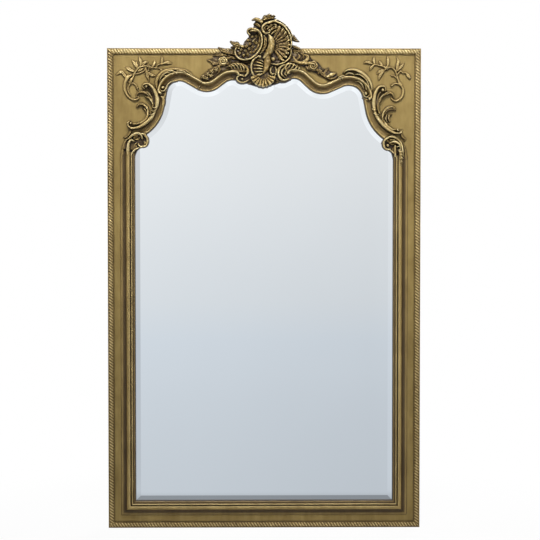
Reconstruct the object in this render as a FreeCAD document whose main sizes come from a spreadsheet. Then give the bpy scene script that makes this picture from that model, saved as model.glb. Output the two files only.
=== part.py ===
"""Wall mirror: a carved and gilded frame round one bevelled plate with a shaped top."""
import FreeCAD, Part
import math
import os
from collections import namedtuple

import Sketcher
from FreeCAD import Placement, Rotation, Vector

os.makedirs("parts", exist_ok=True)
doc = FreeCAD.newDocument("wall_mirror")

# Driving dimensions in millimetres
SIZES = {
    "frame_width": 1120,
    "frame_height": 1720,
    "board_thickness": 18,
    "header_height": 382,
    "rope_width": 22,
    "rope_land": 4,
    "rope_base": 5,
    "ground_width": 24,
    "moulding_width": 51,
    "toe_land": 11,
    "toe_height": 3,
    "cove_width": 11,
    "cove_rise": 15,
    "ridge_width": 13,
    "ridge_drop": 2,
    "quirk_width": 2,
    "quirk_depth": 3,
    "bead_width": 7,
    "bead_drop": 3,
    "lip_height": 8,
    "lip_cover": 6,
    "band_width": 33,
    "band_ridge_width": 10,
    "band_height": 26,
    "corner_band_width": 21,
    "corner_band_height": 20,
    "carving_relief": 30,
    "crest_thickness": 14,
    "overrun": 5,
    "overhang_gap": 0.5,
    "glass_thickness": 5,
    "bevel_width": 25,
    "bevel_depth": 2.5,
    "glass_gap": 1.5,
    "tape_width": 4,
    "tape_gap": 0.1,
    "setting_block_length": 60,
    "setting_block_inset": 180,
    "backboard_thickness": 6,
    "backboard_ledge": 14,
    "backboard_gap": 0.5,
    "backboard_top_drop": 90,
    "packing_width": 12,
    "packing_inset": 10,
    "screw_diameter": 4,
    "screw_head_diameter": 8,
    "screw_head_height": 2.4,
    "screw_length": 15,
    "screw_clearance": 0.2,
    "crest_screw_rise": 40,
    "crest_screw_spacing": 60,
    "crest_screw_length": 27,
    "dowel_diameter": 8,
    "dowel_length": 40,
    "dowel_inset": 28,
    "dowel_gap": 0.3,
    "hanger_drop": 420,
    "hanger_inset": 50,
    "strap_width": 22,
    "strap_length": 58,
    "strap_thickness": 2.5,
    "strap_screw_inset": 12,
    "strap_screw_spacing": 24,
    "barrel_length": 14,
    "barrel_wall": 1.8,
    "ring_wire": 5,
    "ring_width": 36,
    "ring_height": 30,
    "ring_corner": 6,
    "ring_clearance": 0.08,
    "bumper_diameter": 24,
    "bumper_taper": 3,
    "bumper_rise": 60,
}
sheet = doc.addObject("Spreadsheet::Sheet", "sizes")
for row, (alias, number) in enumerate(SIZES.items(), start=1):
    sheet.set(f"A{row}", alias.replace("_", " "))
    sheet.set(f"B{row}", str(number))
    sheet.setAlias(f"B{row}", alias)
doc.recompute()


class Size:
    """A length that knows both its number and the sheet formula that gives it."""

    def __init__(self, number, formula):
        self.number = float(number)
        self.formula = formula

    def __add__(self, other):
        other = as_size(other)
        return Size(self.number + other.number, f"({self.formula} + {other.formula})")

    def __sub__(self, other):
        other = as_size(other)
        return Size(self.number - other.number, f"({self.formula} - {other.formula})")

    def __mul__(self, factor):
        return Size(self.number * factor, f"({self.formula} * {factor})")

    def __truediv__(self, factor):
        return Size(self.number / factor, f"({self.formula} / {factor})")

    def __neg__(self):
        return Size(-self.number, f"(0 - {self.formula})")


def as_size(value):
    return value if isinstance(value, Size) else Size(value, str(value))


def size(alias):
    return Size(sheet.get(alias), f"sizes.{alias}")


def chord(across, rise):
    """The straight distance over two sizes at right angles."""
    return Size(
        math.hypot(across.number, rise.number),
        f"sqrt({across.formula} ^ 2 + {rise.formula} ^ 2)",
    )


NIL = Size(0, "0")
half_width = size("frame_width") / 2
half_height = size("frame_height") / 2
thickness = size("board_thickness")
moulding_start = size("rope_width") + size("ground_width")
sight_width = moulding_start + size("moulding_width")
sight_half = half_width - sight_width
rebate_cover = size("lip_cover") + size("glass_gap")
stile_width = sight_width - rebate_cover
inner_half = half_width - stile_width
ledge_width = stile_width - size("backboard_ledge")
backboard_half = half_width - ledge_width - size("backboard_gap")
backboard_bottom = ledge_width + size("backboard_gap") - half_height
backboard_top = half_height - size("backboard_top_drop")
screw_line = ledge_width + size("backboard_ledge") / 2

# Points read from the front view, in pixels of the 540 by 540 photograph
FRAME_EDGES_PIXELS = (108.0, 420.6)
SIGHT_EDGES_PIXELS = (135.1, 393.5)
CENTRE_PIXEL = sum(FRAME_EDGES_PIXELS) / 2
SIGHT_HALF_PIXELS = SIGHT_EDGES_PIXELS[1] - CENTRE_PIXEL
FRAME_HALF_PIXELS = FRAME_EDGES_PIXELS[1] - CENTRE_PIXEL
TOP_PIXEL = 48.5
HEADER_FOOT_PIXEL = 155.0
SIDE_FOOT_PIXELS = {"left": 152.0, "right": 155.0}
HEADER_LEG_PIXELS = 141.0
ROPE_STOP_PIXELS = {"left": 229.3, "right": 294.3}

# The sight line of the header: tangent circles, as centre, radius and turn (1 where the glass bulges)
SIGHT_CIRCLES_PIXELS = [
    (149.1, 149.5, 14.0, 1),
    (124.8, 99.9, 40.3, -1),
    (179.8, 93.3, 12.7, 1),
    (207.0, 72.5, 18.8, -1),
    (233.3, 93.2, 13.6, 1),
    (262.8, 75.0, 12.5, -1),
    (294.3, 87.9, 9.8, 1),
    (322.3, 73.3, 20.0, -1),
    (348.7, 99.5, 14.6, 1),
    (407.7, 102.9, 42.7, -1),
    (379.5, 153.5, 14.0, 1),
]

Frond = namedtuple("Frond", "path_pixels half_width_pixels rise_shares")
Boss = namedtuple("Boss", "centre_pixels radius_pixels rise_share")
Run = namedtuple("Run", "first_circle first_share last_circle last_share")

SERPENTINE_RUNS = {"left": Run(2, 0.12, 4, 0.72), "right": Run(6, 0.25, 8, 0.84)}
CORNER_RUNS = {"left": Run(1, 0.14, 1, 0.95), "right": Run(9, 0.1, 9, 0.84)}

SERPENTINE_PIXELS = {
    "left": [
        Frond(
            [(159.6, 87.2), (161.2, 90.2), (164.2, 91.6), (166.4, 90.6)],
            [1.5, 1.3, 1.1, 0.7], [0.8, 0.75, 0.7, 0.6],
        ),
        Frond(
            [(157.4, 86), (157.2, 81), (159.4, 76), (163.6, 72), (169, 69.4), (175, 68.6)],
            [1.3, 2.0, 2.4, 2.4, 2.0, 0.9], [0.7, 0.85, 0.9, 0.9, 0.8, 0.6],
        ),
        Frond(
            [(235.6, 70.8), (240, 68.6), (244.4, 70.4), (246.6, 74.6), (245.2, 79), (241.4, 80.4), (238.4, 78.4)],
            [1.3, 1.8, 1.9, 1.7, 1.4, 0.9], [0.85, 0.95, 0.95, 0.9, 0.85, 0.7],
        ),
        Boss((163.4, 88.9), 1.0, 0.7),
        Boss((241.4, 75.0), 2.4, 0.8),
    ],
    "right": [
        Frond(
            [(369.6, 90.6), (368.8, 93.8), (366.2, 96), (363.6, 95.6)],
            [1.5, 1.3, 1.1, 0.7], [0.8, 0.75, 0.7, 0.6],
        ),
        Frond(
            [(372, 87.4), (370.4, 83.2), (366.6, 78.6), (361.6, 74.6), (355.6, 72.4), (349.6, 72.4)],
            [1.2, 1.9, 2.3, 2.3, 1.9, 0.9], [0.7, 0.85, 0.9, 0.9, 0.8, 0.6],
        ),
        Frond(
            [(292, 69.4), (287.6, 67.4), (283, 69), (280.4, 73.2), (281.6, 77.8), (285.4, 79.4), (288.6, 77.4)],
            [1.3, 1.8, 1.9, 1.7, 1.4, 0.9], [0.85, 0.95, 0.95, 0.9, 0.85, 0.7],
        ),
        Boss((366.2, 93.0), 1.0, 0.7),
        Boss((286.0, 73.6), 2.4, 0.8),
    ],
}

CORNER_PIXELS = {
    "left": [
        Frond(
            [(144.6, 88.6), (143.8, 85.8), (147, 84.1), (151.2, 85.7), (154.5, 89.8), (156.2, 95),
             (156.8, 101), (156, 107), (154, 112.6), (151, 118), (147, 122.6), (141.6, 126.8),
             (135.5, 128.6), (130.4, 126.8), (129, 123.4), (131.6, 121.8)],
            [0.8, 1.1, 1.3, 1.6, 1.7, 1.6, 0.9], [0.65, 0.85, 0.95, 1.0, 1.0, 0.9, 0.65],
        ),
        Frond(
            [(150.9, 108.6), (150.9, 102.5), (148.2, 96.8), (143.8, 93.4), (139.6, 93.6), (137.8, 96.4)],
            [1.0, 1.9, 2.0, 1.6, 0.8], [0.75, 0.75, 0.65, 0.55, 0.4],
        ),
        Frond(
            [(146.2, 115.4), (146.6, 111.4), (145, 107), (141.8, 104.6), (138.2, 106)],
            [0.9, 1.7, 1.8, 1.4, 0.7], [0.8, 0.7, 0.6, 0.5, 0.4],
        ),
        Frond(
            [(129.4, 131.8), (127.4, 133.8), (125, 135.2), (122.8, 135)],
            [0.9, 1.2, 0.9, 0.5], [0.5, 0.4, 0.35, 0.3],
        ),
        Boss((146.9, 87.3), 1.2, 0.75),
        Boss((132.6, 124.4), 1.1, 0.8),
    ],
    "right": [
        Frond(
            [(384.6, 91.6), (385.3, 88.8), (382, 86.6), (378.4, 88), (375.6, 91.8), (374, 97),
             (373.4, 103), (374, 109.5), (375.8, 115.5), (378.6, 120.8), (382.4, 126), (387.2, 130.4),
             (393.5, 132.6), (398.6, 131.6), (400.2, 128.4), (397.8, 127)],
            [0.8, 1.1, 1.3, 1.6, 1.7, 1.6, 0.9], [0.65, 0.85, 0.95, 1.0, 1.0, 0.9, 0.65],
        ),
        Frond(
            [(379.4, 109.6), (379.6, 103.5), (382.2, 98.4), (386, 95), (390.4, 93.8), (393, 96.4)],
            [1.0, 1.9, 2.0, 1.6, 0.8], [0.75, 0.75, 0.65, 0.55, 0.4],
        ),
        Frond(
            [(384, 118.6), (383.6, 113.8), (385.6, 109.4), (389.6, 107), (394.2, 108.4)],
            [0.9, 1.7, 1.8, 1.4, 0.7], [0.8, 0.7, 0.6, 0.5, 0.4],
        ),
        Frond(
            [(401.2, 134.6), (402.6, 136.8), (404.8, 138.6), (406.6, 137.6)],
            [0.9, 1.2, 0.9, 0.5], [0.5, 0.4, 0.35, 0.3],
        ),
        Boss((382.4, 90.2), 1.2, 0.75),
        Boss((396.4, 129.4), 1.1, 0.8),
    ],
}

CAPITAL_PIXELS = {
    "left": [
        Frond(
            [(126.6, 150.4), (127.4, 144.5), (130.4, 138.6), (135, 134.8), (140, 133.8), (143, 137)],
            [1.8, 2.3, 2.4, 2.2, 1.7, 0.9], [0.85, 0.95, 1.0, 1.0, 0.95, 0.75],
        ),
        Frond(
            [(143.4, 135.2), (147.4, 137), (148.6, 141), (146.6, 145), (142.4, 146.8), (138.6, 146)],
            [1.2, 1.6, 1.8, 1.8, 1.4, 0.9], [0.85, 0.95, 1.0, 1.0, 0.9, 0.75],
        ),
        Frond(
            [(131.6, 150.2), (132.2, 145.2), (134.8, 141.2), (138.4, 139.8)],
            [2.0, 2.2, 1.7, 0.9], [0.8, 0.8, 0.75, 0.7],
        ),
        Boss((139.6, 142.0), 7.6, 0.5),
        Boss((144.6, 142.0), 2.0, 0.85),
    ],
    "right": [
        Frond(
            [(402.4, 153.4), (402, 147.5), (399.8, 142.4), (395.8, 138.6), (391, 137), (387, 139)],
            [1.8, 2.3, 2.4, 2.2, 1.7, 0.9], [0.85, 0.95, 1.0, 1.0, 0.95, 0.75],
        ),
        Frond(
            [(386.4, 138.6), (383.2, 141.4), (382.6, 145.4), (385, 149), (389.4, 150.2), (393, 149.2)],
            [1.2, 1.6, 1.8, 1.8, 1.4, 0.9], [0.85, 0.95, 1.0, 1.0, 0.9, 0.75],
        ),
        Frond(
            [(397.4, 153.4), (397.4, 148.6), (395.2, 144.8), (392, 143.2)],
            [2.0, 2.2, 1.7, 0.9], [0.8, 0.8, 0.75, 0.7],
        ),
        Boss((391.2, 145.6), 7.6, 0.5),
        Boss((386.6, 145.4), 2.0, 0.85),
    ],
}

SPRAY_PIXELS = {
    "left": [
        Frond(
            [(136.2, 99.6), (132, 98.4), (128, 95), (125.6, 90), (125, 85), (126.6, 79.6), (129.6, 77.4)],
            [0.8, 1.1, 1.2, 1.2, 1.1], [0.25, 0.3, 0.32, 0.35, 0.35],
        ),
        Frond(
            [(129, 93), (129, 87), (131.5, 83.2), (134.4, 83.2), (136.8, 86.4)],
            [0.7, 0.9, 0.8], [0.25, 0.28, 0.25],
        ),
        Frond(
            [(130.4, 84), (132, 80.4), (134, 77), (135.4, 73.6), (138.2, 69.6), (142, 67), (147, 66.2),
             (152, 67.6), (158, 67.4), (164, 64.2), (171, 63.6)],
            [1.6, 1.1, 0.9, 0.9, 0.8, 0.8, 0.6], [0.35, 0.3, 0.3, 0.3, 0.28, 0.25, 0.2],
        ),
        Frond(
            [(128.4, 80), (125.4, 75.4), (121.6, 72), (117.4, 74)],
            [1.6, 1.4, 1.2, 0.6], [0.35, 0.3, 0.25, 0.2],
        ),
        Frond([(136.2, 72.6), (131, 69.8), (126.8, 67.6)], [0.7, 1.3, 0.5], [0.3, 0.28, 0.2]),
        Frond([(138.6, 69.4), (135.4, 64.4), (133.2, 60.8)], [0.6, 1.2, 0.5], [0.3, 0.28, 0.2]),
        Frond([(141.4, 67.4), (141.4, 62), (139.6, 57)], [0.6, 1.2, 0.5], [0.3, 0.28, 0.2]),
        Frond([(144, 66.4), (146, 63.2), (149, 62)], [0.6, 1.1, 0.5], [0.3, 0.28, 0.2]),
        Frond([(152, 67.4), (154.4, 64), (156, 60.6)], [0.6, 1.1, 0.5], [0.3, 0.28, 0.2]),
        Frond([(161.6, 65.4), (162.6, 61), (162.2, 56.8)], [0.6, 1.1, 0.5], [0.26, 0.26, 0.2]),
        Frond([(146.4, 67), (148, 74), (149.8, 80.4)], [0.7, 1.2, 0.5], [0.3, 0.28, 0.2]),
        Frond([(147.4, 71), (151, 74.4), (154.4, 75.8)], [0.7, 1.2, 0.5], [0.28, 0.26, 0.2]),
        Boss((149.6, 67.4), 2.0, 0.36),
        Boss((130.4, 78.6), 2.4, 0.38),
    ],
    "right": [
        Frond(
            [(390.6, 98.6), (393.4, 100.6), (398, 99.6), (401.4, 96), (402.6, 91), (401.6, 86.4), (398.4, 83.4),
             (394, 83.6)], [0.8, 1.1, 1.2, 1.3, 0.8], [0.25, 0.3, 0.32, 0.35, 0.3],
        ),
        Frond(
            [(399.6, 83.4), (397.6, 78.6), (396.2, 73.6), (393.4, 68.8), (388, 67.6), (382, 66.6), (376, 65),
             (371, 63.6), (364, 63.4)],
            [1.6, 1.1, 0.9, 0.9, 0.8, 0.8, 0.6], [0.35, 0.3, 0.3, 0.3, 0.28, 0.25, 0.2],
        ),
        Frond([(397.4, 77.4), (394.4, 75.6), (391, 75.4)], [0.7, 0.8, 0.6], [0.28, 0.25, 0.2]),
        Frond([(396.6, 74), (397.2, 65), (396.6, 57.4)], [0.7, 1.3, 0.5], [0.3, 0.28, 0.2]),
        Frond([(397, 72), (400.4, 66.8), (403.6, 63.6)], [0.6, 1.1, 0.5], [0.3, 0.28, 0.2]),
        Frond(
            [(397.2, 73.4), (402, 72.4), (406.4, 73.6), (409.4, 78)],
            [0.7, 1.2, 1.2, 0.5], [0.3, 0.28, 0.26, 0.2],
        ),
        Frond([(387, 67.6), (387.6, 61), (387, 56.8)], [0.6, 1.2, 0.5], [0.3, 0.28, 0.2]),
        Frond([(382, 66.8), (380, 63), (378.4, 60.8)], [0.6, 1.1, 0.5], [0.28, 0.26, 0.2]),
        Frond([(374.6, 64.8), (373.6, 60.6), (374, 56.8)], [0.6, 1.1, 0.5], [0.26, 0.26, 0.2]),
        Frond([(375, 65), (372, 67.4), (369.6, 70.4)], [0.6, 1.1, 0.5], [0.26, 0.26, 0.2]),
        Frond([(385.4, 69.6), (380.6, 71), (376.6, 73.6)], [0.7, 1.2, 0.5], [0.28, 0.26, 0.2]),
        Frond([(384.6, 70.4), (380.6, 75), (378.6, 80)], [0.7, 1.2, 0.5], [0.28, 0.26, 0.2]),
        Boss((386.0, 68.2), 2.2, 0.36),
        Boss((399.4, 82.4), 2.4, 0.38),
    ],
}

GARLAND_PIXELS = {
    "left": [
        Boss((223.2, 60.8), 4.8, 0.62),
        Frond([(221, 61.6), (214, 62.2), (208, 60)], [1.4, 1.9, 0.6], [0.45, 0.4, 0.28]),
        Frond([(222.6, 63), (218.6, 68), (213.4, 71.8), (207.6, 75.2), (201.6, 77.6)],
              [1.6, 2.0, 2.0, 1.8, 0.7], [0.45, 0.42, 0.4, 0.38, 0.3]),
        Frond([(225, 66.2), (227.4, 67.2), (229.6, 67.4)], [1.2, 1.2, 0.6], [0.42, 0.4, 0.3]),
        Boss((216.4, 69.4), 2.6, 0.55),
        Boss((210.4, 73.4), 2.7, 0.52),
        Boss((204.4, 76.6), 2.3, 0.48),
    ],
    "right": [
        Boss((313.0, 66.0), 4.8, 0.62),
        Frond(
            [(311.4, 65), (305.4, 62.4), (299.6, 62.4), (295.4, 59.6)],
            [1.2, 2.0, 1.8, 0.8], [0.5, 0.5, 0.45, 0.35],
        ),
        Frond([(304, 61.8), (307.6, 58.6), (305.6, 55.4)], [1.2, 1.6, 0.7], [0.48, 0.45, 0.35]),
        Frond([(315.6, 68.6), (321, 72.4), (325.6, 76.6)], [1.4, 1.8, 0.7], [0.45, 0.42, 0.3]),
        Frond([(324, 75), (330, 76.8), (335.4, 74.6)], [1.2, 1.7, 0.7], [0.42, 0.4, 0.3]),
        Boss((319.4, 71.6), 2.8, 0.52),
    ],
}

# Outline of the crest's plate: a curve from each leaf tip or notch to the next
CREST_OUTLINE_PIXELS = [
    [(238, 58.6), (233.4, 56), (230, 51.4)],
    [(230, 51.4), (233, 49.6), (236, 49)],
    [(236, 49), (232.6, 45.6), (231.4, 42.2)],
    [(231.4, 42.2), (236.6, 43), (243.4, 45.4)],
    [(243.4, 45.4), (245.6, 40.6), (249.4, 37.2)],
    [(249.4, 37.2), (247.2, 32.6), (249.4, 28.8), (253.6, 27.4)],
    [(253.6, 27.4), (254.4, 24), (252.4, 20.4)],
    [(252.4, 20.4), (256.6, 18.2), (261.6, 19.4)],
    [(261.6, 19.4), (265, 15.8), (269.6, 14.4), (274.4, 16.6)],
    [(274.4, 16.6), (274.4, 18.8), (276.4, 20.2)],
    [(276.4, 20.2), (282.6, 23.2), (288, 29), (293.4, 36), (299, 41.4)],
    [(299, 41.4), (296.4, 43.4), (293.6, 44)],
    [(293.6, 44), (293.2, 51), (290.6, 58), (284.6, 62.4), (276.6, 64.6)],
    [(276.6, 64.6), (276.2, 72), (275.4, 80)],
    [(275.4, 80), (270.4, 85.4), (263, 87.4), (255.8, 85.2), (250.8, 80)],
    [(250.8, 80), (250.2, 71), (251.4, 64), (252.6, 61.6)],
    [(252.6, 61.6), (245.4, 61.4), (238, 58.6)],
]
CREST_PIXELS = [
    Frond(
        [(251.4, 35), (249.8, 32.6), (251.4, 30.6), (255, 30.4), (258.8, 33), (260.8, 38), (260.6, 44.6),
         (258.2, 50.6), (254, 55), (248.6, 57.6), (243, 58), (238.8, 56.4), (237.4, 53)],
        [0.8, 1.2, 1.5, 1.6, 1.4, 0.9], [0.5, 0.55, 0.6, 0.6, 0.55, 0.45],
    ),
    Frond(
        [(268.6, 36.4), (271, 40.6), (271.2, 46), (268.4, 51.4), (263.8, 55)],
        [1.0, 2.6, 3.2, 2.6, 1.0], [0.6, 0.85, 0.95, 0.85, 0.6],
    ),
    Frond(
        [(264.2, 27.2), (268, 25.2), (273, 24.2), (279, 24.8), (284.6, 28), (288.4, 33.4), (289.8, 40),
         (289.2, 47), (287.2, 53.4), (283.4, 58.2)],
        [1.0, 1.4, 1.5, 1.5, 1.3, 0.9], [0.55, 0.65, 0.65, 0.6, 0.55, 0.5],
    ),
    Frond([(263.2, 31.4), (265, 34), (268, 33.6), (269, 31)], [0.8, 0.9, 0.9, 0.7], [0.6, 0.65, 0.65, 0.55]),
    Frond([(262, 24.6), (260, 21.8), (256.6, 21.4)], [1.0, 1.3, 0.6], [0.45, 0.45, 0.35]),
    Frond([(267, 22.6), (267.4, 19.6), (270.6, 17.6)], [1.0, 1.4, 0.6], [0.5, 0.5, 0.4]),
    Frond([(258.4, 59.6), (255.6, 61), (253.6, 65), (253.3, 69.4), (254.4, 73.4)],
          [0.8, 1.1, 1.2, 1.1, 0.8], [0.5, 0.55, 0.55, 0.5, 0.4]),
    Frond(
        [(264.6, 58.8), (265.2, 64.6), (267.2, 70), (271, 73.2)],
        [1.1, 1.6, 1.6, 0.9], [0.55, 0.6, 0.6, 0.5],
    ),
    Boss((266.4, 30.4), 1.2, 0.65),
    Boss((272.6, 66.0), 1.6, 0.6),
]
CREST_FLOWERS_PIXELS = [
    (241.5, 53.4), (246.2, 53.4), (250.8, 51.4), (254.6, 47.4),
    (256.6, 42.4), (246.8, 48.2), (251.2, 44.2), (254.2, 37),
]
CREST_FLOWER_RADIUS_PIXELS = 2.0
CREST_FLOWER_SHARE = 0.5

Fan = namedtuple("Fan", "centre_pixels near_pixels far_pixels first_degrees last_degrees ribs rise_share")
CREST_FANS = [
    Fan((271.5, 45.0), 6.5, 14.5, -52.0, 64.0, 7, 0.55),
    Fan((263.0, 74.5), 3.5, 10.3, -148.0, -32.0, 5, 0.5),
    Fan((264.0, 66.0), 2.5, 7.6, 165.0, 215.0, 3, 0.45),
]
FAN_NARROW_SHARE = 0.35
FAN_RIB_SHARE = 0.8
FAN_RIM_SHARE = 0.85
STATIONS_PER_POINT = 3
LEAST_AREA_SHARE = 0.5
CROWN_SHARE = 0.6
CROWN_ROUND_SHARE = 0.9
RIDGE_CROWN_SHARE = 0.2

across_scale = sight_half.number / SIGHT_HALF_PIXELS
stile_scale = sight_width.number / (FRAME_HALF_PIXELS - SIGHT_HALF_PIXELS)
upright_scale = size("header_height").number / (HEADER_FOOT_PIXEL - TOP_PIXEL)
carving_scale = min(across_scale, stile_scale, upright_scale)
ground = -thickness.number
relief = size("carving_relief").number


def place(pixel):
    """A point of the front view on the ground plane: across from the centre, down from the top edge."""
    offset = pixel[0] - CENTRE_PIXEL
    inside = min(abs(offset), SIGHT_HALF_PIXELS)
    outside = abs(offset) - inside
    across = math.copysign(inside * across_scale + outside * stile_scale, offset)
    return Vector(across, ground, half_height.number - (pixel[1] - TOP_PIXEL) * upright_scale)


# Construction helpers
def add_body(label, origin, rotation):
    body = doc.addObject("PartDesign::Body", label)
    body.Label = label
    body.Placement = Placement(Vector(*[axis.number for axis in origin]), rotation)
    for axis, value in zip("xyz", origin):
        body.setExpression(f"Placement.Base.{axis}", value.formula)
    return body


def add_sketch(body, role, name):
    sketch = body.newObject("Sketcher::SketchObject", name)
    plane = next(feature for feature in body.Origin.OriginFeatures if feature.Role == role)
    sketch.AttachmentSupport = [(plane, "")]
    sketch.MapMode = "FlatFace"
    return sketch


def bind(sketch, constraint, formula):
    index = sketch.addConstraint(constraint)
    sketch.setExpression(f"Constraints[{index}]", formula)


def draw_outline(sketch, corners, arcs=None):
    """A closed outline through corners; arcs gives the radius and bulge of the edges that are round."""
    arcs = arcs or {}
    count = len(corners)
    points = [Vector(across.number, up.number, 0) for across, up in corners]
    starts = []
    for edge in range(count):
        first = points[edge]
        last = points[(edge + 1) % count]
        if edge not in arcs:
            sketch.addGeometry(Part.LineSegment(first, last))
            starts.append((1, 2))
            continue
        radius, bulge = arcs[edge]
        middle = (first + last) * 0.5
        half_chord = (last - first) * 0.5
        depth = radius.number - math.sqrt(radius.number ** 2 - half_chord.Length ** 2)
        side = Vector(-half_chord.y, half_chord.x, 0).normalize() * depth * bulge
        sketch.addGeometry(Part.Arc(first, middle + side, last))
        starts.append((2, 1) if bulge > 0 else (1, 2))
    for edge in range(count):
        after = (edge + 1) % count
        joint = Sketcher.Constraint("Coincident", edge, starts[edge][1], after, starts[after][0])
        sketch.addConstraint(joint)
    for edge, (across, up) in enumerate(corners):
        start = starts[edge][0]
        bind(sketch, Sketcher.Constraint("DistanceX", -1, 1, edge, start, across.number), across.formula)
        bind(sketch, Sketcher.Constraint("DistanceY", -1, 1, edge, start, up.number), up.formula)
    for edge, (radius, bulge) in arcs.items():
        bind(sketch, Sketcher.Constraint("Radius", edge, radius.number), radius.formula)


def draw_rectangle(sketch, low, high):
    draw_outline(sketch, [(low[0], low[1]), (high[0], low[1]), (high[0], high[1]), (low[0], high[1])])


def add_pad(body, sketch, length, name):
    pad = body.newObject("PartDesign::Pad", name)
    pad.Profile = sketch
    pad.setExpression("Length", length.formula)
    return pad


def add_pocket(body, sketch, name, depth=None, from_far_side=False):
    """A cut right through on both sides of the sketch, or to a depth on one side."""
    doc.recompute()
    before = body.Shape.Volume
    pocket = body.newObject("PartDesign::Pocket", name)
    pocket.Profile = sketch
    if depth is None:
        pocket.Type = "ThroughAll"
        pocket.Midplane = True
    else:
        pocket.setExpression("Length", depth.formula)
        pocket.Reversed = from_far_side
    doc.recompute()
    if not body.Shape.Volume < before:
        raise RuntimeError(f"{name} cuts nothing")


def drill(label, base, holes):
    """A board with round holes; each hole is a start point, a direction, a radius and a depth."""
    tools = []
    for count, (start, rotation, radius, depth) in enumerate(holes):
        hole = doc.addObject("Part::Cylinder", f"{label}_hole_{count}")
        hole.setExpression("Radius", radius.formula)
        hole.setExpression("Height", depth.formula)
        hole.Placement = Placement(Vector(*[axis.number for axis in start]), rotation)
        for axis, value in zip("xyz", start):
            hole.setExpression(f"Placement.Base.{axis}", value.formula)
        tools.append(hole)
    holes_together = doc.addObject("Part::Compound", f"{label}_holes")
    holes_together.Links = tools
    cut = doc.addObject("Part::Cut", label)
    cut.Label = label
    cut.Base = base
    cut.Tool = holes_together
    return cut


nodes = []


def keep(item, label):
    item.Label = label
    nodes.append(item)
    return item


def keep_shape(shape, label):
    feature = doc.addObject("Part::Feature", label)
    feature.Shape = shape
    return keep(feature, label)


# Local axes of the four sides: across from the outer edge, forward, and along the length
SIDE_TURN = {
    "left": Rotation(Vector(1, 0, 0), Vector(0, -1, 0), Vector(0, 0, -1), "XYZ"),
    "bottom": Rotation(Vector(0, 0, 1), Vector(0, -1, 0), Vector(1, 0, 0), "XYZ"),
    "right": Rotation(Vector(-1, 0, 0), Vector(0, -1, 0), Vector(0, 0, 1), "XYZ"),
    "top": Rotation(Vector(0, 0, -1), Vector(0, -1, 0), Vector(-1, 0, 0), "XYZ"),
}
POINTING_LEFT = Rotation(Vector(0, 1, 0), -90)
POINTING_RIGHT = Rotation(Vector(0, 1, 0), 90)
POINTING_FORWARD = Rotation(Vector(1, 0, 0), 90)


def mitred_length(label, side, origin, length, profile, mitres):
    """A length of moulding along one side; mitres says which ends are cut at 45 degrees to the corner."""
    corners, arcs = profile
    body = add_body(label, origin, SIDE_TURN[side])
    sketch = add_sketch(body, "XY_Plane", f"{label}_profile")
    draw_outline(sketch, corners, arcs)
    add_pad(body, sketch, length, f"{label}_length")
    reach = sight_width + size("overrun")
    triangles = {
        "start": [(NIL, NIL), (reach, NIL), (reach, reach)],
        "end": [(NIL, length), (reach, length - reach), (reach, length)],
    }
    for end in mitres:
        cut = add_sketch(body, "XZ_Plane", f"{label}_{end}_mitre")
        draw_outline(cut, triangles[end])
        add_pocket(body, cut, f"{label}_{end}_cut")
    return keep(body, label)


# Boards of the frame: stiles, bottom rail and the shaped header
screw_hole = size("screw_diameter") / 2 + size("screw_clearance")
dowel_hole = size("dowel_diameter") / 2
dowel_depth = size("dowel_length") / 2 + size("dowel_gap")
dowel_places = [
    half_height - size("dowel_inset"),
    half_height - size("dowel_inset") * 2,
    size("dowel_inset") - half_height,
    size("dowel_inset") * 2 - half_height,
]
side_screw_shares = (0.1, 0.37, 0.63, 0.9)
rail_screw_shares = (-0.6, 0.0, 0.6)
screw_rise = (backboard_top - backboard_bottom)
side_screw_heights = [backboard_bottom + screw_rise * share for share in side_screw_shares]
rail_screw_places = [inner_half * share for share in rail_screw_shares]
screw_low = screw_line - half_height
screw_high = backboard_top - size("backboard_ledge") / 2
screw_side = half_width - screw_line
screw_hole_depth = size("screw_length") + size("screw_clearance")
hanger_height = half_height - size("hanger_drop")
hanger_side = half_width - size("hanger_inset")
barrel_radius = size("ring_wire") / 2 + size("ring_clearance") + size("barrel_wall")
strap_screw_heights = [
    hanger_height - barrel_radius - size("strap_screw_inset"),
    hanger_height - barrel_radius - size("strap_screw_inset") - size("strap_screw_spacing"),
]
strap_screw_length = size("screw_length")

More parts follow.
